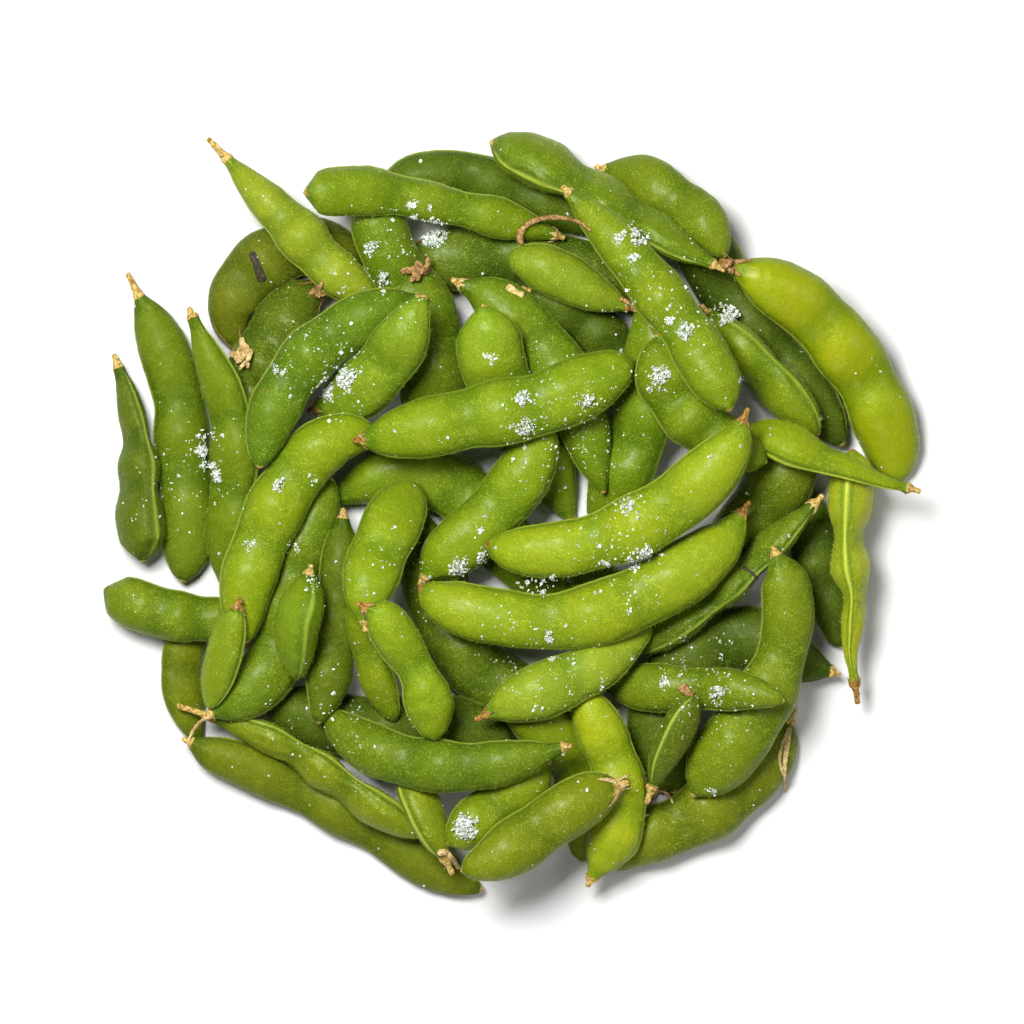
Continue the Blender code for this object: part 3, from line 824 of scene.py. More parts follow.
def flowing(knots: Table, values: Table, at: Table) -> Table:
    """A smooth curve through places at knots, sloped at each knot by the places on both sides.

    Args:
        knots: Distances at which places are given.
        values: The place at each knot.
        at: Distances where it is wanted.

    Returns:
        One place for each distance.
    """
    steps = np.diff(knots)[:, None]
    rise = np.diff(values, axis=0) / steps
    inner = (rise[:-1] * steps[1:] + rise[1:] * steps[:-1]) / (steps[:-1] + steps[1:])
    slopes = np.vstack([rise[:1], inner, rise[-1:]])
    k = np.clip(np.searchsorted(knots, at, side="right") - 1, 0, len(steps) - 1)
    h = steps[k]
    t = (at - knots[k])[:, None] / h
    near = (2 * t**3 - 3 * t**2 + 1) * values[k] + (t**3 - 2 * t**2 + t) * h * slopes[k]
    return near + (-2 * t**3 + 3 * t**2) * values[k + 1] + (t**3 - t**2) * h * slopes[k + 1]


def ripple(points: Table, wavelength: float, seed: int, waves: int = 9) -> Table:
    """Smooth unevenness in space, from -1 to 1, as a sum of plane waves.

    Args:
        points: Places, in metres, along the last axis.
        wavelength: The usual length of a wave, in metres.
        seed: Fixes the waves.
        waves: How many there are.

    Returns:
        One value for each place.
    """
    rng = np.random.default_rng(seed)
    total = np.zeros(points.shape[:-1])
    for _ in range(waves):
        way = rng.normal(size=3)
        way *= 2 * math.pi / (np.linalg.norm(way) * wavelength * rng.uniform(0.7, 1.5))
        total += np.sin(points @ way + rng.uniform(0, 2 * math.pi))
    return total / math.sqrt(waves) / 1.5


def kept_in(places: Table) -> Table:
    """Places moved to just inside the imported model's box."""
    low, high = (np.array(corner) for corner in CAD_BOX)
    return np.clip(places, low + 0.05 * MM, high - 0.05 * MM)


def ramp(value: Table, low: float, high: float) -> Table:
    """0 below low, 1 above high, and smooth between."""
    t = np.clip((value - low) / (high - low), 0.0, 1.0)
    return t * t * (3 - 2 * t)


@dataclass
class PodMaker:
    """Makes one pod's fine mesh along its spine.

    Attributes:
        name: The pod's node.
        look: How it differs from the others.
        seed: Fixes its unevenness.
        pitch: Spacing of the rings, in metres.
        sides: Corners of a ring.
        slim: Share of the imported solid's half axes that the skin lies at before it swells.
        ridge: Height of the seam's keel, in metres.
        groove: Depth of the furrow on each side of the keel, in metres.
        mound: How much the skin swells over a bean and sinks between two, in metres.
    """

    name: str
    look: Look
    seed: int
    pitch: float = 0.45 * MM
    sides: int = 48
    slim: float = 0.98
    ridge: float = 0.24 * MM
    groove: float = 0.14 * MM
    mound: float = 0.70 * MM
    spine: Spine = field(init=False, repr=False)
    knots: Table = field(init=False, repr=False)

    def __post_init__(self) -> None:
        """Read the pod's spine and measure how far along it each ring lies."""
        self.spine = Spine.read(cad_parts[self.name])
        steps = np.linalg.norm(np.diff(self.spine.centre, axis=0), axis=1)
        self.knots = np.concatenate([[0.0], np.cumsum(steps)])

    @property
    def neck(self) -> float:
        """How far from the stalk's end the pod begins, in metres."""
        return float(self.knots[2])

    def shape(self, at: Table) -> tuple[Table, Table, Table]:
        """The pod's centre, seam half axis and face half axis at distances from the stalk's end.

        Args:
            at: Distances from the stalk's end, in metres.

        Returns:
            The centre, the seam half axis and the face half axis at each distance.
        """
        centre = flowing(self.knots, self.spine.centre, at)
        seams = self._axes(self.knots, self.spine.seam, at)
        return centre, seams, self._axes(self.knots, self.spine.face, at)

    def build(self) -> bpy.types.Object:
        """Make the pod.

        Returns:
            Its object, at the origin, with the skin's attributes on its mesh.
        """
        neck, length = self.neck, float(self.knots[-1])
        even = np.linspace(0.0, 1.0, max(60, int(length / self.pitch)))
        at = length * (even - 0.6 * np.sin(2 * math.pi * even) / (2 * math.pi))
        share = np.clip((at - neck) / (length - neck), 0.0, 1.0)
        centre, seam, face = self.shape(at)
        full = self._fullness(self.spine, self.knots, at)

        phase = np.arange(self.sides) * 2 * math.pi / self.sides
        theta = phase - 0.17 * np.sin(2 * phase)
        cos, sin = np.cos(theta), np.sin(theta)
        flattened = sin * (1 - 0.07 * cos**4)
        arm = seam[:, None, :] * cos[None, :, None] + face[:, None, :] * flattened[None, :, None]
        out = self._outward(seam, face, cos, sin)
        points = centre[:, None, :] + arm * self.slim

        body = ramp(share, 0.02, 0.10) * (1 - ramp(share, 0.93, 0.995))
        front = 0.6 + 0.4 * (cos > 0)
        away = np.abs(np.sin(theta))
        crest = np.exp(-((away / 0.085) ** 2)) * front
        trough = np.exp(-(((away - 0.24) / 0.10) ** 2)) * front
        wide = np.clip(np.linalg.norm(seam, axis=1) / (5 * MM), 0.0, 1.0)[:, None]
        push = body[:, None] * (self.ridge * crest - self.groove * trough)[None, :]
        bean = self.mound * self.look.swell * (full - 0.65) * body
        push += bean[:, None] * (0.6 + 0.4 * np.abs(sin) ** 1.5)[None, :]
        broad = 0.17 * MM * ripple(points, 11 * MM, self.seed)
        push += wide * (broad + 0.05 * MM * ripple(points, 2.8 * MM, self.seed + 1))
        push += self._folds(share, theta, at, neck, points)
        points = points + out * push[:, :, None]

        verts = np.vstack([centre[:1], points[1:-1].reshape(-1, 3), centre[-1:]])
        verts = kept_in(verts)
        obj = self._skinned(verts, len(at) - 2)
        flow = np.gradient(centre, axis=0)
        flow /= np.linalg.norm(flow, axis=1)[:, None]
        beak = ramp(share, 0.975, 0.998)
        dry = 1 - ramp(at, neck * 0.85, neck + self.look.reach * MM)
        # The crown value: 1 on the faces over the beans, falling towards the seams, the ends and between
        # beans; the darkening it drives is partly painted shade.
        crown = np.clip((0.30 + 0.70 * full) * body, 0, 1)[:, None] * (np.abs(sin) ** 1.1)[None, :]
        self._paint(obj, "crown", crown)
        # The seam mask: where the pale seam colour goes, partly painted sheen along the edges.
        edge = np.exp(-((away / 0.13) ** 2)) * front
        self._paint(obj, "seam", body[:, None] * edge[None, :])
        # The groove mask: where painted shade darkens the furrow beside each keel.
        self._paint(obj, "groove", 0.5 * body[:, None] * trough[None, :])
        self._paint(obj, "dry", np.repeat(np.maximum(dry, 0.8 * beak)[:, None], self.sides, axis=1))
        low, high = (np.array(corner) for corner in CAD_BOX)
        room = np.minimum(points - low, high - points).min(axis=2)
        self._paint(obj, "down", body[:, None] * ramp(room, 1.1 * MM, 1.6 * MM))
        self._paint(obj, "brown", np.full((len(at), self.sides), float(self.look.dry is Dry.BROWN)))
        self._paint(obj, "flow", np.repeat(flow[:, None, :], self.sides, axis=1))
        # The tint carries each pod's own green together with its painted light and shade.
        self._paint(obj, "tint", np.tile(np.array([*self.look.tint, 1.0]), (len(at), self.sides, 1)))
        return obj

    def _axes(self, knots: Table, rows: Table, at: Table) -> Table:
        """One half axis along the pod: a slim stalk, a flared neck, a smooth body and a rounded, beaked tip.

        Args:
            knots: Distances of the solid's rings from the stalk's end.
            rows: The half axis at each ring.
            at: Distances where it is wanted.

        Returns:
            The half axis at each distance.
        """
        sizes = np.linalg.norm(rows, axis=1)
        ways = rows / np.maximum(sizes, 1e-9)[:, None]
        ways[0], ways[-1] = ways[1], ways[-2]
        way = eased(knots, ways, at)
        way /= np.linalg.norm(way, axis=1)[:, None]
        squared = eased(knots[1:], sizes[1:, None] ** 2, np.maximum(at, knots[1]))[:, 0]
        size = np.sqrt(np.maximum(squared, 0.0))
        neck = knots[2]
        along = np.clip(at / neck, 0.0, 1.0)
        stalk = (0.68 + 0.72 * along**3) * MM * (sizes[2] / (1.4 * MM))
        dome = np.sqrt(np.clip(1 - (1 - np.clip(at / (0.5 * MM), 0, 1)) ** 2, 0, 1))
        size = np.where(at < neck, stalk * dome, size)
        left = (knots[-1] - at) / (1.6 * MM)
        size = np.minimum(size, MM * (0.30 + 1.9 * np.clip(left, 0, 4)) * np.sqrt(np.clip(left / 0.35, 0, 1)))
        return way * size[:, None]

    @staticmethod
    def _outward(seam: Table, face: Table, cos: Table, sin: Table) -> Table:
        """The direction out of the pod at each corner of each ring.

        Args:
            seam: Half axes to the seam.
            face: Half axes to a face.
            cos: Cosine of each corner's angle.
            sin: Sine of each corner's angle.

        Returns:
            A direction one long for each corner of each ring.
        """
        wide = np.maximum((seam**2).sum(axis=1), 1e-10)[:, None]
        deep = np.maximum((face**2).sum(axis=1), 1e-10)[:, None]
        out = (seam / wide)[:, None, :] * cos[None, :, None] + (face / deep)[:, None, :] * sin[None, :, None]
        return out / np.maximum(np.linalg.norm(out, axis=2), 1e-9)[:, :, None]

    def _folds(self, share: Table, theta: Table, at: Table, neck: float, points: Table) -> Table:
        """Creases at the neck and the tip, the lobes of the dry calyx, and the stalk's roughness.

        Args:
            share: How far along the body each ring is, from 0 to 1.
            theta: Each corner's angle.
            at: Each ring's distance from the stalk's end.
            neck: Where the stalk ends.
            points: Each corner's place.

        Returns:
            How far each corner moves out, in metres.
        """
        pinch = np.exp(-(((share - 0.05) / 0.04) ** 2)) * (share > 0)
        pinch = pinch + 0.7 * np.exp(-(((share - 0.95) / 0.03) ** 2))
        push = (0.10 * MM * pinch)[:, None] * np.sin(7 * theta + self.seed)[None, :]
        calyx = np.exp(-(((at - neck * 0.92) / (0.7 * MM)) ** 2))
        lobes = 0.35 + 0.65 * np.maximum(np.sin(2.5 * theta + self.seed), 0.0) ** 2
        push = push + (0.34 * MM * calyx)[:, None] * lobes[None, :]
        wander = 0.5 * ripple(points, 14 * MM, self.seed + 3)
        strength = 0.4 + 0.6 * ramp(ripple(points, 9 * MM, self.seed + 4), -0.3, 0.3)
        ribs = np.sin(11 * theta[None, :] + 6 * wander) * strength
        ribbed = ramp(share, 0.03, 0.2) * (1 - ramp(share, 0.85, 1.0))
        push = push + self.look.ribs * MM * ribbed[:, None] * ribs
        stalk = 1 - ramp(at, neck * 0.8, neck * 1.2)
        return push + (0.14 * MM * stalk)[:, None] * ripple(points, 1.5 * MM, self.seed + 2)

    @staticmethod
    def _fullness(spine: Spine, knots: Table, at: Table) -> Table:
        """1 over each bean and 0 between two, from how thick the solid is for its breadth.

        Args:
            spine: The pod's course.
            knots: Distances of its rings.
            at: Distances where it is wanted.

        Returns:
            A value from 0 to 1 for each distance.
        """
        broad = np.linalg.norm(spine.seam[3:-1], axis=1)
        thick = np.linalg.norm(spine.face[3:-1], axis=1) / broad
        full = np.clip(1 - (1 - thick / thick.max()) / 0.18, 0.0, 1.0)
        held = np.clip(at, knots[3], knots[-2])
        return np.clip(eased(knots[3:-1], full[:, None], held)[:, 0], 0.0, 1.0)

    def _skinned(self, verts: Table, rings: int) -> bpy.types.Object:
        """Join the rings and the two ends with faces.

        Args:
            verts: The stalk's end, the rings' corners and the tip.
            rings: How many rings there are.

        Returns:
            The pod, smooth and in the scene.
        """
        n, last = self.sides, len(verts) - 1
        faces: list[tuple[int, ...]] = []
        for j in range(n):
            k = (j + 1) % n
            faces.append((0, 1 + k, 1 + j))
            faces.append((last - n + j, last - n + k, last))
            for start in range(1, 1 + (rings - 1) * n, n):
                faces.append((start + j, start + k, start + n + k, start + n + j))
        mesh = bpy.data.meshes.new(self.name + "_fine")
        mesh.from_pydata(verts.tolist(), [], faces)
        mesh.shade_smooth()
        obj = linked("pod_" + self.name, mesh)
        return obj

    @staticmethod
    def _paint(obj: bpy.types.Object, name: str, rings: Table) -> None:
        """Store a number, a direction or a colour for each corner of the rings, and for the two ends.

        Args:
            obj: The pod.
            name: The attribute's name.
            rings: A value for each corner of each ring.
        """
        width = rings.shape[2] if rings.ndim == 3 else 1
        kinds = {1: ("FLOAT", "value"), 3: ("FLOAT_VECTOR", "vector"), 4: ("FLOAT_COLOR", "color")}
        kind, slot = kinds[width]
        values = rings.reshape(len(rings), -1, width)
        values = np.vstack([values[1:2, 0], values[1:-1].reshape(-1, width), values[-2:-1, 0]])
        obj.data.attributes.new(name, kind, "POINT").data.foreach_set(slot, values.ravel().astype(np.float32))


@dataclass
class Down:
    """Short pale hairs that lean towards a pod's tip.

    Attributes:
        finish: The hairs' look.
        density: Hairs on each square metre.
        length: A middling hair's length, in metres.
    """

    finish: DownFinish = DownFinish()
    density: float = 1.1e6
    length: float = 0.85 * MM
    tree: bpy.types.NodeTree | None = None

    def grow(self, pod: bpy.types.Object, seed: int) -> None:
        """Add hairs to a pod's own mesh.

        Args:
            pod: The pod, whose mesh holds the attributes 'down' and 'flow'.
            seed: Fixes where the hairs stand.
        """
        if self.tree is None:
            self.tree = self._tree(self.finish.material())
        given = {"Density": self.density, "Length": self.length, "Seed": seed}
        pod.data = through_nodes(pod, self.tree, given)

    @staticmethod
    def _tree(material: bpy.types.Material) -> bpy.types.NodeTree:
        """The node tree that stands hairs on a pod.

        Args:
            material: The hairs' material.

        Returns:
            The tree, whose inputs are the density, the length and the seed.
        """
        w, given = started_tree("down", {"Density": "Float", "Length": "Float", "Seed": "Int"})
        cover = w.named("down")
        flow = w.named("flow", "FLOAT_VECTOR")
        spread = w.add(
            "GeometryNodeDistributePointsOnFaces",
            Mesh=given["Geometry"],
            Density=w.math("MULTIPLY", cover, given["Density"]),
            Seed=given["Seed"],
        )
        astray = w.random((-0.45, -0.45, -0.45), (0.45, 0.45, 0.45))
        scaled = {"operation": "SCALE"}
        lean = w.add("ShaderNodeVectorMath", scaled, in_0=spread.outputs["Normal"], Scale=0.55).outputs[0]
        lean = w.add("ShaderNodeVectorMath", in_0=lean, in_1=flow).outputs[0]
        lean = w.add("ShaderNodeVectorMath", in_0=lean, in_1=astray).outputs[0]
        turn = w.add("FunctionNodeAlignRotationToVector", {"axis": "Z"}, Vector=lean).outputs[0]
        hair = w.add(
            "GeometryNodeMeshCone",
            {"fill_type": "NONE"},
            Vertices=3,
            Radius_Top=0.004 * MM,
            Radius_Bottom=0.032 * MM,
            Depth=given["Length"],
        ).outputs["Mesh"]
        size = w.random(0.55, 1.25, 3)
        roots = spread.outputs["Points"]
        hairs = w.add("GeometryNodeInstanceOnPoints", Points=roots, Instance=hair, Rotation=turn, Scale=size)
        real = w.add("GeometryNodeRealizeInstances", Geometry=hairs.outputs[0]).outputs[0]
        dressed = w.add("GeometryNodeSetMaterial", Geometry=real, Material=material).outputs[0]
        both = w.add("GeometryNodeJoinGeometry")
        w.tree.links.new(dressed, both.inputs[0])
        w.tree.links.new(given["Geometry"], both.inputs[0])
        w.add("NodeGroupOutput", Geometry=both.outputs[0])
        return w.tree


# --------------------------------------------------------------------------------------------------
# Dry remains
# --------------------------------------------------------------------------------------------------


Mesh = tuple[Table, list[tuple[int, ...]]]


def swept(path: Table, across: Table, through: Table, sides: int = 8) -> Mesh:
    """A closed strip or twig along a path.

    Args:
        path: Places along its middle.
        across: Its half width at each place, as a vector.
        through: Its half thickness at each place, as a vector.
        sides: Corners of its section.

    Returns:
        Its corners and faces.
    """
    theta = np.arange(sides) * 2 * math.pi / sides
    rings = path[1:-1, None, :] + across[1:-1, None, :] * np.cos(theta)[None, :, None]
    rings = rings + through[1:-1, None, :] * np.sin(theta)[None, :, None]
    verts = np.vstack([path[:1], rings.reshape(-1, 3), path[-1:]])
    faces: list[tuple[int, ...]] = []
    last = len(verts) - 1
    for j in range(sides):
        k = (j + 1) % sides
        faces.append((0, 1 + k, 1 + j))
        faces.append((last - sides + j, last - sides + k, last))
        for i in range(len(path) - 3):
            near = 1 + i * sides
            faces.append((near + j, near + k, near + sides + k, near + sides + j))
    return verts, faces


def dressed(parts: list[Mesh], name: str, material: bpy.types.Material) -> bpy.types.Object:
    """One object of several closed shells.

    Args:
        parts: Corners and faces of each shell.
        name: The object's name.
        material: What it is made of.

    Returns:
        The object, at the origin.
    """
    verts, faces = [], []
    for corners, sides in parts:
        start = sum(len(v) for v in verts)
        faces.extend([tuple(start + v for v in side) for side in sides])
        verts.append(corners)
    mesh = bpy.data.meshes.new(name)
    mesh.from_pydata(kept_in(np.vstack(verts)).tolist(), [], faces)
    mesh.shade_smooth()
    mesh.materials.append(material)
    obj = linked(name, mesh)
    return obj


@dataclass
class Calyx:
    """The dry sepals round a pod's neck: some hug it, and on a long husk some curl back round the stalk.

    Attributes:
        maker: The pod that the sepals belong to.
        sepals: How many there are.
        thickness: A sepal's thickness, in metres.
    """

    maker: PodMaker
    sepals: int = 5
    thickness: float = 0.09 * MM

    def parts(self) -> list[Mesh]:
        """Make the sepals.

        Returns:
            Corners and faces of each.
        """
        length = self.maker.look.husk * MM
        rng = np.random.default_rng(self.maker.seed)
        shells = []
        for number in range(self.sepals):
            angle = (number + rng.uniform(-0.25, 0.25)) * 2 * math.pi / self.sepals
            shells.append(self._sepal(angle, length * rng.uniform(0.55, 1.0), 1.0, rng))
            if length > 3.2 * MM:
                shells.append(self._sepal(angle + 0.6, length * rng.uniform(0.5, 0.9), -1.0, rng))
        return shells

    def _sepal(self, angle: float, length: float, way: float, rng: np.random.Generator) -> Mesh:
        """One sepal.

        Args:
            angle: Where it stands round the neck.
            length: How long it is, in metres.
            way: 1 when it hugs the pod, -1 when it is turned back round the stalk.
            rng: Draws its unevenness.

        Returns:
            Its corners and faces.
        """
        steps = np.linspace(0.0, 1.0, 12)
        neck = self.maker.neck
        at = neck + (steps * length if way > 0 else -steps * min(length, neck * 0.8))
        centre, seam, face = self.maker.shape(at)
        arm = seam * math.cos(angle) + face * math.sin(angle)
        out = unit(arm)
        lift = (0.10 + rng.uniform(0.1, 0.5) * steps**2) * MM
        if way < 0:
            beyond = np.maximum(steps * length - neck * 0.8, 0.0)[:, None]
            along = (centre[0] - centre[-1]) / max(np.linalg.norm(centre[0] - centre[-1]), 1e-9)
            centre = centre - along * beyond
            lift = (0.15 + rng.uniform(0.2, 0.5) * length / MM * steps) * MM
        path = centre + arm + out * lift[:, None]
        crumple = np.stack([ripple(path, 2.2 * MM, int(rng.integers(999))) for _ in range(3)], 1)
        path += 0.22 * MM * steps[:, None] * crumple
        ahead = np.gradient(path, axis=0)
        tangent = np.cross(out, ahead)
        tangent = unit(tangent)
        width = 0.42 * min(length, 3.4 * MM) * (steps + 0.12) ** 0.3 * (1.02 - steps) ** 0.75
        normal = np.cross(ahead, tangent)
        normal = unit(normal)
        return swept(path, tangent * width[:, None], normal * self.thickness)


@dataclass(frozen=True)
class Scrap:
    """A loose dry stalk, or a flake when it is flat, that lies on the heap; a near-black flake is painted
    shade inside a torn or slit pod.

    Attributes:
        name: What it is.
        course: Places along it, in millimetres from the heap's middle.
        start: Its half width at its first place, in millimetres.
        end: Its half width at its last place, in millimetres.
        flat: Its thickness as a share of its width.
        dry: Its colour.
    """

    name: str
    course: tuple[tuple[float, float], ...]
    start: float
    end: float
    flat: float = 0.9
    dry: Dry = Dry.TAN

    def parts(self, ground: BVHTree) -> list[Mesh]:
        """Lay the scrap on the heap.

        Args:
            ground: The pods' joined surface.

        Returns:
            Its corners and faces, as the only item.
        """
        knots = np.linspace(0.0, 1.0, len(self.course))
        steps = np.linspace(0.0, 1.0, 26)
        flat = flowing(knots, np.array(self.course) * MM, steps)
        half = (self.start + (self.end - self.start) * steps) * MM
        half = half * np.sqrt(np.clip(np.minimum(steps, 1 - steps) / 0.06, 0.05, 1.0))
        height = np.zeros(len(steps))
        for i, (x, y) in enumerate(flat):
            hit = ground.ray_cast(Vector((x, y, 0.2)), Vector((0, 0, -1)))[0]
            height[i] = (hit.z if hit else 0.0) + half[i] * self.flat + 0.15 * MM
        for _ in range(60):
            height[1:-1] = np.maximum(height[1:-1], (height[:-2] + height[2:]) / 2 - 0.02 * MM)
        path = np.column_stack([flat, height])
        ahead = np.gradient(path, axis=0)
        side = np.cross(ahead, [0.0, 0.0, 1.0])
        side = unit(side)
        up = np.cross(side, ahead)
        up = unit(up)
        rough = 1 + 0.18 * ripple(path, 1.6 * MM, len(self.name))[:, None]
        return [swept(path, -side * half[:, None] * rough, up * half[:, None] * self.flat * rough)]


@dataclass(frozen=True)
class Tuft:
    """The papery remains of a flower, caught between the pods.

    Attributes:
        name: What it is.
        place: Where it sits, in millimetres from the heap's middle.
        reach: How far its petals spread, in millimetres.
        petals: How many it has.
        dry: Its colour.
    """

    name: str
    place: tuple[float, float]
    reach: float
    petals: int = 9
    dry: Dry = Dry.TAN

    def parts(self, ground: BVHTree) -> list[Mesh]:
        """Lay the petals round their middle.

        Args:
            ground: The pods' joined surface.

        Returns:
            Corners and faces of each petal.
        """
        rng = np.random.default_rng(len(self.name))
        middle = np.array(self.place) * MM
        floor = self._height(ground, middle)
        steps = np.linspace(0.0, 1.0, 12)
        petals = []
        for number in range(self.petals):
            angle = rng.uniform(0.0, 2 * math.pi)
            way = np.array([math.cos(angle), math.sin(angle)])
            length = self.reach * MM * rng.uniform(0.45, 1.15)
            start = middle + rng.normal(size=2) * 0.16 * self.reach * MM - way * 0.3 * length
            flat = start + way * steps[:, None] * length
            arch = rng.uniform(0.2, 1.2) * np.sin(math.pi * steps * rng.uniform(0.6, 1.1))
            rise = (0.4 + 0.15 * number + arch) * MM
            high = [max(self._height(ground, spot), floor - 1.5 * MM) for spot in flat]
            path = np.column_stack([flat, np.array(high) + rise])
            path += 0.7 * MM * np.stack([ripple(path, 3.4 * MM, int(rng.integers(999))) for _ in range(3)], 1)
            ahead = np.gradient(path, axis=0)
            side = np.cross(ahead, [0.0, 0.0, 1.0])
            side = unit(side)
            side += np.array([0.0, 0.0, rng.uniform(-0.8, 0.8)])
            up = np.cross(side, ahead)
            up = unit(up)
            broadest = rng.uniform(0.2, 0.42) * min(self.reach, 3.6) * MM
            width = broadest * (steps + 0.15) ** 0.4 * (1.02 - steps) ** 0.4
            petals.append(swept(path, -side * width[:, None], up * 0.09 * MM))
        return petals

    @staticmethod
    def _height(ground: BVHTree, spot: Table) -> float:
        """How high the heap is at a place."""
        hit = ground.ray_cast(Vector((spot[0], spot[1], 0.2)), Vector((0, 0, -1)))[0]
        return hit.z if hit else 0.0


# The places of the tufts and scraps were picked one by one and turned into millimetres by another program.
TUFTS = (
    Tuft("papery_calyx", (-64.4, 37.8), 4.6, 11),
    Tuft("brown_calyx", (-22, 58), 4.3, 11, Dry.BROWN),
    Tuft("pink_calyx", (-45.5, 52.9), 2.8, 7, Dry.BROWN),
    Tuft("rim_calyx", (52, 59.4), 2.6, 7, Dry.BROWN),
)

SCRAPS = (
    Scrap(
        "curled_stem",
        ((2.5, 64), (2, 66.6), (4, 69.3), (7.8, 70.7), (12.1, 70.7), (16.4, 69.5), (19.3, 67.1)),
        0.95,
        0.35,
        dry=Dry.BROWN,
    ),
    Scrap("loose_pedicel", ((33.5, -68.3), (35.2, -66.6), (37.3, -67.1), (38.8, -69.5)), 0.75, 0.3),
    Scrap("low_pedicel", ((-17.6, -81), (-15.7, -81), (-14, -82.7), (-12.6, -85.3)), 0.9, 0.5),
    Scrap(
        "left_thread",
        ((-71.4, -48.6), (-73.8, -49.3), (-76, -51.5), (-77.2, -53.9), (-77.4, -56.3)),
        0.5,
        0.25,
    ),
    Scrap("hanging_sepal", ((66.6, -51), (65.9, -56.3), (65.4, -61.5), (65.6, -67.1)), 0.8, 0.35, flat=0.25),
    Scrap("second_sepal", ((67.1, -51.2), (64.9, -54.8), (64.2, -59.1), (65.2, -63)), 0.6, 0.25, flat=0.25),
    Scrap("papery_flake", ((-1.3, 54.4), (0.6, 53.2), (3, 52)), 1.1, 0.8, flat=0.15),
    # dark_tear and brown_slit are thin near-black flakes: painted shade for the hollow inside a torn or slit
    # pod.
    Scrap("dark_tear", ((-62.3, 62.8), (-60.8, 59.4), (-59.2, 55.6)), 0.9, 1.3, flat=0.07, dry=Dry.DARK),
    Scrap("brown_slit", ((55.3, -12.6), (57.2, -14), (59.2, -15.9)), 0.5, 0.3, flat=0.08, dry=Dry.DARK),
    Scrap("brown_spot", ((40.4, -40.9), (41.6, -42.3), (43.1, -43.5)), 1.1, 0.9, flat=0.14, dry=Dry.BROWN),
    Scrap("short_stem", ((26, 51.5), (28.2, 50.3), (29.9, 48.1)), 0.6, 0.35, dry=Dry.BROWN),
)


# --------------------------------------------------------------------------------------------------
# Salt
# --------------------------------------------------------------------------------------------------


@dataclass(frozen=True)
class Pinch:
    """One pinch of salt.

    Attributes:
        x: Place across the heap, in millimetres from its middle.
        y: Place up the heap, in millimetres from its middle.
        reach: How far the grains spread, in millimetres.
        grains: Grains for each square millimetre in the middle.
        pile: How high the grains lie on each other, in millimetres.
        wedged: Height at which the salt is held between two pods, in millimetres; 0 where it lies on one.
    """

    x: float
    y: float
    reach: float
    grains: float
    pile: float = 0.0
    wedged: float = 0.0


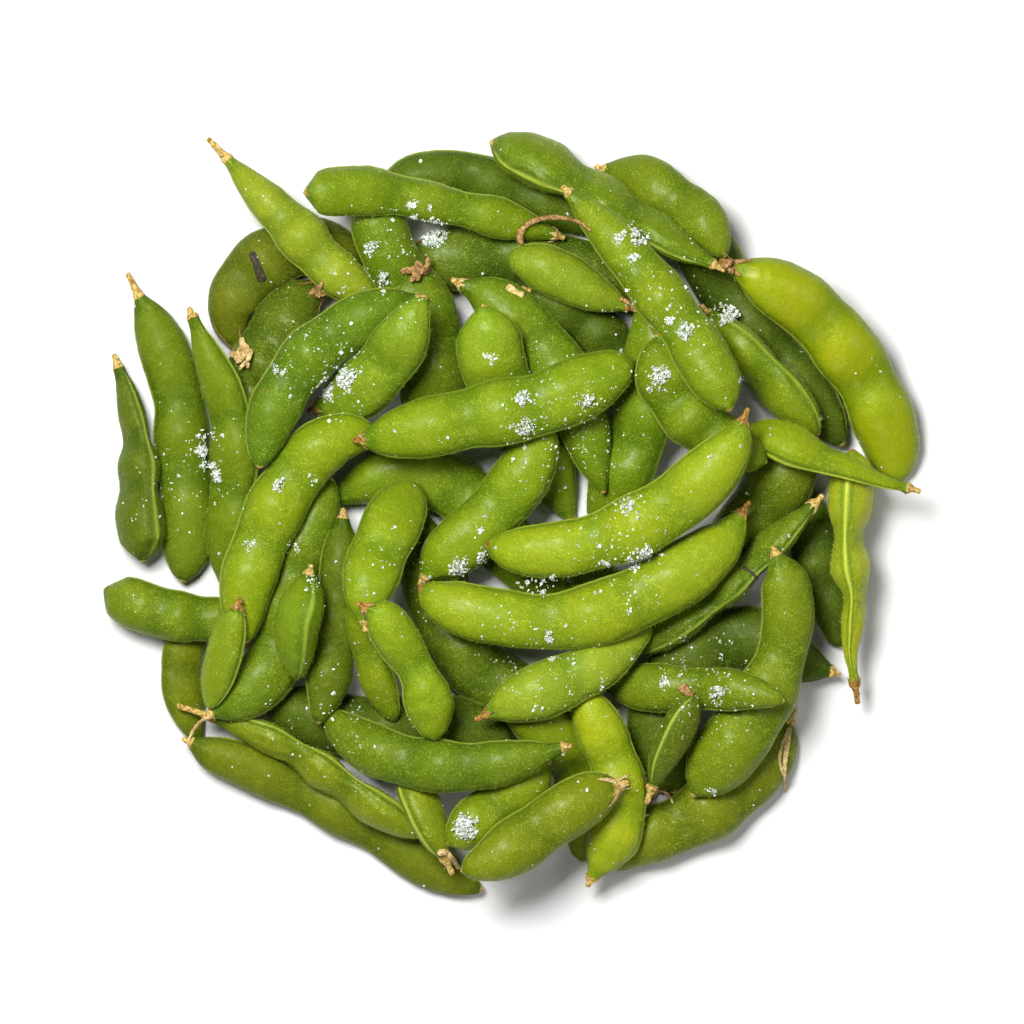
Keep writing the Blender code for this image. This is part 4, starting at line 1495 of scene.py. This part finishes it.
@dataclass
class Salt:
    """Coarse damp salt, sprinkled from above onto whatever lies there.

    Attributes:
        pinches: Where the salt falls.
        finish: The salt's look.
        cell: The sieve's mesh, in metres.
        stray: Grains for each square millimetre away from any pinch.
        grain: A middling grain's edge, in metres.
        seed: Fixes where the grains fall.
        lump_pile: The least pile, in millimetres, that holds together as a lump.
        crust_pile: The least pile, in millimetres, that forms a crust.
    """

    pinches: tuple[Pinch, ...]
    finish: SaltFinish = SaltFinish()
    cell: float = 0.5 * MM
    stray: float = 0.010
    grain: float = 0.46 * MM
    seed: int = 7
    lump_pile: float = 1.9
    crust_pile: float = 1.6

    def build(self, heap: bpy.types.Object) -> bpy.types.Object:
        """Sprinkle the salt.

        Args:
            heap: The pods' joined surface that the grains land on.

        Returns:
            One mesh of grains.
        """
        sieve = self._sieve()
        tree = self._tree(heap, self.finish.material())
        mesh = through_nodes(sieve, tree, {"Heap": heap, "Grain": self.grain, "Seed": self.seed})
        obj = linked("salt_grains", mesh)
        bpy.data.objects.remove(sieve, do_unlink=True)
        return obj

    def _firmness(self, pinch: Pinch) -> float:
        """How closely a pinch's middle holds together: a tall pile is a lump and a lower one a crust."""
        if pinch.pile >= self.lump_pile:
            return 0.7
        return 0.35 if pinch.pile >= self.crust_pile else 0.0

    def _sieve(self) -> bpy.types.Object:
        """A flat grid above the heap whose corners say how much salt falls there and how high it piles.

        Returns:
            The grid, with the fall, the pile and the wedge height on its corners.
        """
        low, high = CAD_BOX
        xs = np.arange(low.x, high.x, self.cell)
        ys = np.arange(low.y, high.y, self.cell)
        gx, gy = np.meshgrid(xs, ys, indexing="ij")
        fall = np.full(gx.shape, self.stray)
        pile, wedged, lump = np.zeros(gx.shape), np.zeros(gx.shape), np.zeros(gx.shape)
        for pinch in self.pinches:
            away = ((gx / MM - pinch.x) ** 2 + (gy / MM - pinch.y) ** 2) / pinch.reach**2
            fall += pinch.grains * np.exp(-(away**2))
            pile += pinch.pile * np.exp(-away)
            lump = np.maximum(lump, self._firmness(pinch) * np.exp(-away**2))
            wedged = np.maximum(wedged, np.where(away < 2.5, pinch.wedged * MM, 0.0))
        places = np.stack([gx, gy, 0 * gx], axis=-1)
        clumps = ramp(ripple(places, 3.2 * MM, self.seed), -0.2, 0.4)
        clumps = clumps * ramp(ripple(places, 1.5 * MM, self.seed + 1), -0.2, 0.4)
        lump *= ramp(ripple(places, 2.4 * MM, self.seed + 2), -0.5, 0.15)
        fall *= 0.15 + 5.2 * np.maximum(clumps, lump)
        verts = np.column_stack([gx.ravel(), gy.ravel(), np.full(gx.size, high.z + 0.02)])
        rows, columns = gx.shape
        faces = [
            (i * columns + j, (i + 1) * columns + j, (i + 1) * columns + j + 1, i * columns + j + 1)
            for i in range(rows - 1)
            for j in range(columns - 1)
        ]
        mesh = bpy.data.meshes.new("sieve")
        mesh.from_pydata(verts.tolist(), [], faces)
        for name, values in (("fall", fall), ("pile", pile), ("wedged", wedged)):
            data = mesh.attributes.new(name, "FLOAT", "POINT").data
            data.foreach_set("value", values.ravel().astype(np.float32))
        obj = linked("sieve", mesh)
        return obj

    @staticmethod
    def _tree(heap: bpy.types.Object, material: bpy.types.Material) -> bpy.types.NodeTree:
        """The node tree that drops a grain from each random place onto the heap.

        Args:
            heap: The surface that the grains land on; not used.
            material: The salt's material.

        Returns:
            The tree, whose inputs are the heap, the grain and the seed.
        """
        w, given = started_tree("sprinkled_salt", {"Heap": "Object", "Grain": "Float", "Seed": "Int"})
        fall, pile, wedged = w.named("fall"), w.named("pile"), w.named("wedged")
        dense = w.math("MULTIPLY", fall, 1.0e6)
        points = w.add(
            "GeometryNodeDistributePointsOnFaces", Mesh=given["Geometry"], Density=dense, Seed=given["Seed"]
        ).outputs["Points"]
        target = w.add("GeometryNodeObjectInfo", Object=given["Heap"]).outputs["Geometry"]
        straight_down = (0.0, 0.0, -1.0)
        fall_line = {"Ray_Direction": straight_down, "Ray_Length": 1.0}
        ray = w.add("GeometryNodeRaycast", Target_Geometry=target, **fall_line)
        heaped = w.random(0.0, 1.0, given["Seed"])
        lift = w.math("MULTIPLY", w.math("POWER", heaped, 1.6), pile)
        lift = w.math("ADD", w.math("MULTIPLY", lift, MM), 0.00004)
        raised = w.add("ShaderNodeCombineXYZ", Z=lift).outputs[0]
        hit = w.add("ShaderNodeSeparateXYZ", Vector=ray.outputs["Hit Position"]).outputs
        depth = w.random(0.0, 1.6 * MM, 5)
        rest = w.math("MAXIMUM", hit["Z"], w.math("SUBTRACT", wedged, depth))
        rest = w.add("ShaderNodeCombineXYZ", X=hit["X"], Y=hit["Y"], Z=rest).outputs[0]
        spot = w.add("ShaderNodeVectorMath", in_0=rest, in_1=raised).outputs[0]
        held = w.add("GeometryNodeSetPosition", Geometry=points, Position=spot).outputs[0]
        missed = w.add("FunctionNodeBooleanMath", {"operation": "NOT"}, in_0=ray.outputs["Is Hit"]).outputs[0]
        by_point = {"domain": "POINT"}
        landed = w.add("GeometryNodeDeleteGeometry", by_point, Geometry=points, Selection=missed).outputs[0]
        w.feed(w.socket(held.node, "Geometry"), landed)
        edge = w.add("ShaderNodeCombineXYZ", X=given["Grain"], Y=given["Grain"], Z=given["Grain"]).outputs[0]
        grain = w.add("GeometryNodeMeshCube", Size=edge).outputs["Mesh"]
        turn = w.random((0.0, 0.0, 0.0), (6.28, 6.28, 6.28))
        size = w.random((0.45, 0.4, 0.35), (1.3, 1.1, 0.95))
        big = w.random(0.0, 1.0, 11)
        big = w.math("ADD", w.math("MULTIPLY", w.math("POWER", big, 5.0), 1.2), 0.7)
        size = w.add("ShaderNodeVectorMath", {"operation": "SCALE"}, in_0=size, Scale=big).outputs[0]
        grains = w.add("GeometryNodeInstanceOnPoints", Points=held, Instance=grain, Rotation=turn, Scale=size)
        real = w.add("GeometryNodeRealizeInstances", Geometry=grains.outputs[0]).outputs[0]
        done = w.add("GeometryNodeSetMaterial", Geometry=real, Material=material).outputs[0]
        w.add("NodeGroupOutput", Geometry=done)
        return w.tree


# All the rows but the dusting were worked out by another program. A second one thinned, rounded and grouped
# them. They were not placed by hand.
PINCHES = tuple(Pinch(*sizes) for sizes in (
    # Along the top.
    (-19, 67, 3, 8.5, 2.2), (30.5, 66, 1.8, 9, 2), (51.5, 48, 2.5, 7, 1.6, 13), (-33.5, 64, 1.6, 5.5, 1.6),
    (-30.5, 56.5, 1.5, 6, 1.6), (-24, 74, 0.9, 9), (28, 68, 1.3, 4.5), (26, 65.5, 1.4, 3),
    (-20, 73, 0.8, 7.5), (-23.5, 70.5, 0.7, 9), (-40.5, 53, 1, 4.5), (29.5, 61, 1.2, 2.8),
    (4, 58.5, 1.2, 2.9),
    # On the left.
    (-44.5, 29.5, 2.3, 7, 1.6), (-74, 15, 1.4, 7.5, 1.6, 7), (-70.5, 9, 1.4, 6.5, 1.6, 7),
    (-55.5, 35, 1.8, 4, 1.6), (-73, 19, 1.8, 3.5, 1.5, 7), (-55.5, 7, 1.5, 5, 1.4),
    (-72.5, 12, 1.5, 5, 1.3, 7), (-47.5, -17, 1.8, 3, 1.3), (-62.5, -7.5, 1.6, 2.7),
    (-52.5, -8.5, 1.6, 2.4), (-47, 8.5, 1.3, 2.2), (-64.5, 40, 1.2, 2.5), (-88.5, 3, 1, 3.5),
    (-90.5, -1.5, 0.7, 6),
    # On the right.
    (28, 2, 1.8, 5, 1.6), (35.5, 33, 2, 7.5, 1.6), (41.5, 43.5, 1.9, 4, 1.6), (34.5, 30, 2.1, 2.1, 1.2),
    (55, 31.5, 1.2, 6.5), (37.5, 46, 0.8, 7), (74.5, 23, 0.8, 7.5), (47, 13.5, 0.9, 3.5), (43, 6, 0.7, 5.5),
    # In the middle.
    (-39.5, 32.5, 2.4, 7, 1.6), (32, -9.5, 1.6, 11, 1.6, 23.5), (17.5, 27, 2.2, 3.5, 1.6),
    (-12.5, -13, 2, 4, 1.6), (3.5, 20.5, 2.1, 3.5, 1.6), (2.5, 27.5, 1.6, 5.5, 1.6),
    (7, -17.5, 1.5, 13, 1.5, 22.5), (29, -11.5, 1.9, 3, 1.4), (9.5, -29.5, 1.3, 6.5, 1.4),
    (10, -16.5, 1.4, 13, 1.3, 22.5), (-7.5, -10.5, 1.9, 2.9, 1.2), (3.5, -17, 1.5, 8, 0, 22.5),
    (0.5, 20, 1.5, 3.5), (-5, 37.5, 1.6, 2.9), (-2.5, 17.5, 1.1, 5), (22.5, -12.5, 1.4, 2.8),
    (21.5, 32.5, 1.5, 2.2), (-35.5, 39, 1.2, 2.4), (-7.5, -4, 0.8, 4.5), (17, -14.5, 1.1, 2.3),
    (6.5, -1.5, 0.7, 5.5), (-16, 17.5, 1, 2.9), (-37, 17.5, 1.1, 2.4), (27.5, -23.5, 0.8, 4.5),
    (-6, -1, 0.7, 6.5), (14, -15.5, 1, 2.6),
    # At the bottom.
    (-11, -75, 2.7, 7, 2), (49.5, -43, 2.1, 2.7, 1.4), (21, -32.5, 1.4, 4), (36, -40, 0.9, 7.5),
    (28, -34.5, 1.4, 2.7), (22.5, -40.5, 1.1, 3.5), (47.5, -66.5, 1.2, 2.8), (9.5, -34.5, 0.9, 4.5),
    (6, -46.5, 1.1, 2.7),
    # A dusting over wide patches.
    (28, -8, 13, 0.25), (8, -34, 14, 0.22), (-30, -16, 12, 0.2), (45, -40, 12, 0.25), (12, 22, 16, 0.2),
    (34, 48, 14, 0.2), (-28, 60, 12, 0.2), (-45, 33, 12, 0.2), (-78, 8, 12, 0.15), (-45, -50, 14, 0.12),
))


# --------------------------------------------------------------------------------------------------
# Studio
# --------------------------------------------------------------------------------------------------


@dataclass
class Studio:
    """A pale table, soft light and a camera that looks straight down.

    Attributes:
        field_of_view: Width of the picture at the heap, in metres.
        distance: The camera's height, in metres.
        sensor: The camera's sensor width, in millimetres.
        finish: The ground's look.
    """

    field_of_view: float = 0.2458
    distance: float = 4.0
    sensor: float = 36.0
    finish: TableFinish = TableFinish()

    def build(self) -> None:
        """Make the table, the lights and the camera."""
        self._table()
        self._softbox("key", (-0.27, 0.31, 0.98), 0.38, 17.6)
        self._softbox("side", (0.70, 0.10, 0.75), 0.55, 1.9)
        self._softbox("front", (0.0, -0.75, 0.75), 0.60, 1.9)
        world = bpy.data.worlds.new("studio")
        world.use_nodes = True
        world.node_tree.nodes["Background"].inputs["Color"].default_value = (0.95, 0.97, 1.0, 1.0)
        world.node_tree.nodes["Background"].inputs["Strength"].default_value = 0.08
        bpy.context.scene.world = world
        bpy.context.scene.view_settings.view_transform = "Standard"
        data = bpy.data.cameras.new("camera")
        data.sensor_width = self.sensor
        data.lens = self.sensor * self.distance / self.field_of_view
        camera = bpy.data.objects.new("camera", data)
        camera.location = (0.0001, 0.0004, self.distance)
        bpy.context.scene.collection.objects.link(camera)
        bpy.context.scene.camera = camera

    def _table(self) -> None:
        """The ground the heap lies on."""
        mesh = bpy.data.meshes.new("table")
        half = 1.6
        corners = [(-half, -half, 0), (half, -half, 0), (half, half, 0), (-half, half, 0)]
        mesh.from_pydata(corners, [], [(0, 1, 2, 3)])
        mesh.materials.append(self.finish.material())
        table = linked("table", mesh)

    @staticmethod
    def _softbox(name: str, place: Colour, size: float, power: float) -> None:
        """One square softbox that faces the heap.

        Args:
            name: The light's name.
            place: Where it stands, in metres.
            size: Its side, in metres.
            power: Its power, in watts.
        """
        light = bpy.data.lights.new(name, "AREA")
        light.size = size
        light.energy = power
        lamp = bpy.data.objects.new(name, light)
        lamp.location = place
        lamp.rotation_euler = (-Vector(place)).to_track_quat("-Z", "Y").to_euler()
        bpy.context.scene.collection.objects.link(lamp)


# --------------------------------------------------------------------------------------------------
# The heap
# --------------------------------------------------------------------------------------------------


def joined(objects: list[bpy.types.Object], name: str) -> bpy.types.Object:
    """A copy of several meshes as one.

    Args:
        objects: Objects that sit at the origin.
        name: The new object's name.

    Returns:
        The new object.
    """
    verts, faces, start = [], [], 0
    for obj in objects:
        raw = np.empty(len(obj.data.vertices) * 3, np.float32)
        obj.data.vertices.foreach_get("co", raw)
        verts.append(raw.reshape(-1, 3))
        faces.extend([tuple(start + v for v in polygon.vertices) for polygon in obj.data.polygons])
        start += len(obj.data.vertices)
    mesh = bpy.data.meshes.new(name)
    mesh.from_pydata(np.vstack(verts).tolist(), [], faces)
    obj = linked(name, mesh)
    return obj


def settled(piece: bpy.types.Object) -> None:
    """Put a finished piece on the frame and report it.

    Args:
        piece: The finished piece, at the origin.
    """
    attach(piece, "root")
    log.info("%s: %d faces", piece.name, len(piece.data.polygons))


def main() -> None:
    """Build the pods, the salt and the studio, and put every piece on the frame."""
    logging.basicConfig(level=logging.INFO, format="%(name)s: %(message)s")
    skins = {skin.surface: skin.material() for skin in SKINS}
    makers = [PodMaker(name, LOOKS[name], seed=100 + 7 * k) for k, name in enumerate(sorted(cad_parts))]
    pods = []
    for maker in makers:
        pod = maker.build()
        pod.data.materials.append(skins[maker.look.surface])
        pods.append(pod)
    heap = joined(pods, "heap_surface")
    surface = heap.data
    ground = BVHTree.FromPolygons([v.co for v in surface.vertices], [p.vertices for p in surface.polygons])
    salt = Salt(PINCHES).build(heap)
    bpy.data.objects.remove(heap, do_unlink=True)
    down = Down()
    for number, pod in enumerate(pods):
        down.grow(pod, number)
        node = pod.name.removeprefix("pod_")
        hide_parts(node)
        settled(pod)
    husks_and_shade = {dry: husk.material() for dry, husk in HUSKS_AND_SHADE.items()}
    for maker in makers:
        if maker.look.husk:
            husk = dressed(Calyx(maker).parts(), "husk_" + maker.name, husks_and_shade[maker.look.dry])
            settled(husk)
    for scrap in (*SCRAPS, *TUFTS):
        piece = dressed(scrap.parts(ground), scrap.name, husks_and_shade[scrap.dry])
        settled(piece)
    settled(salt)
    Studio().build()


if __name__ == "__main__":
    main()
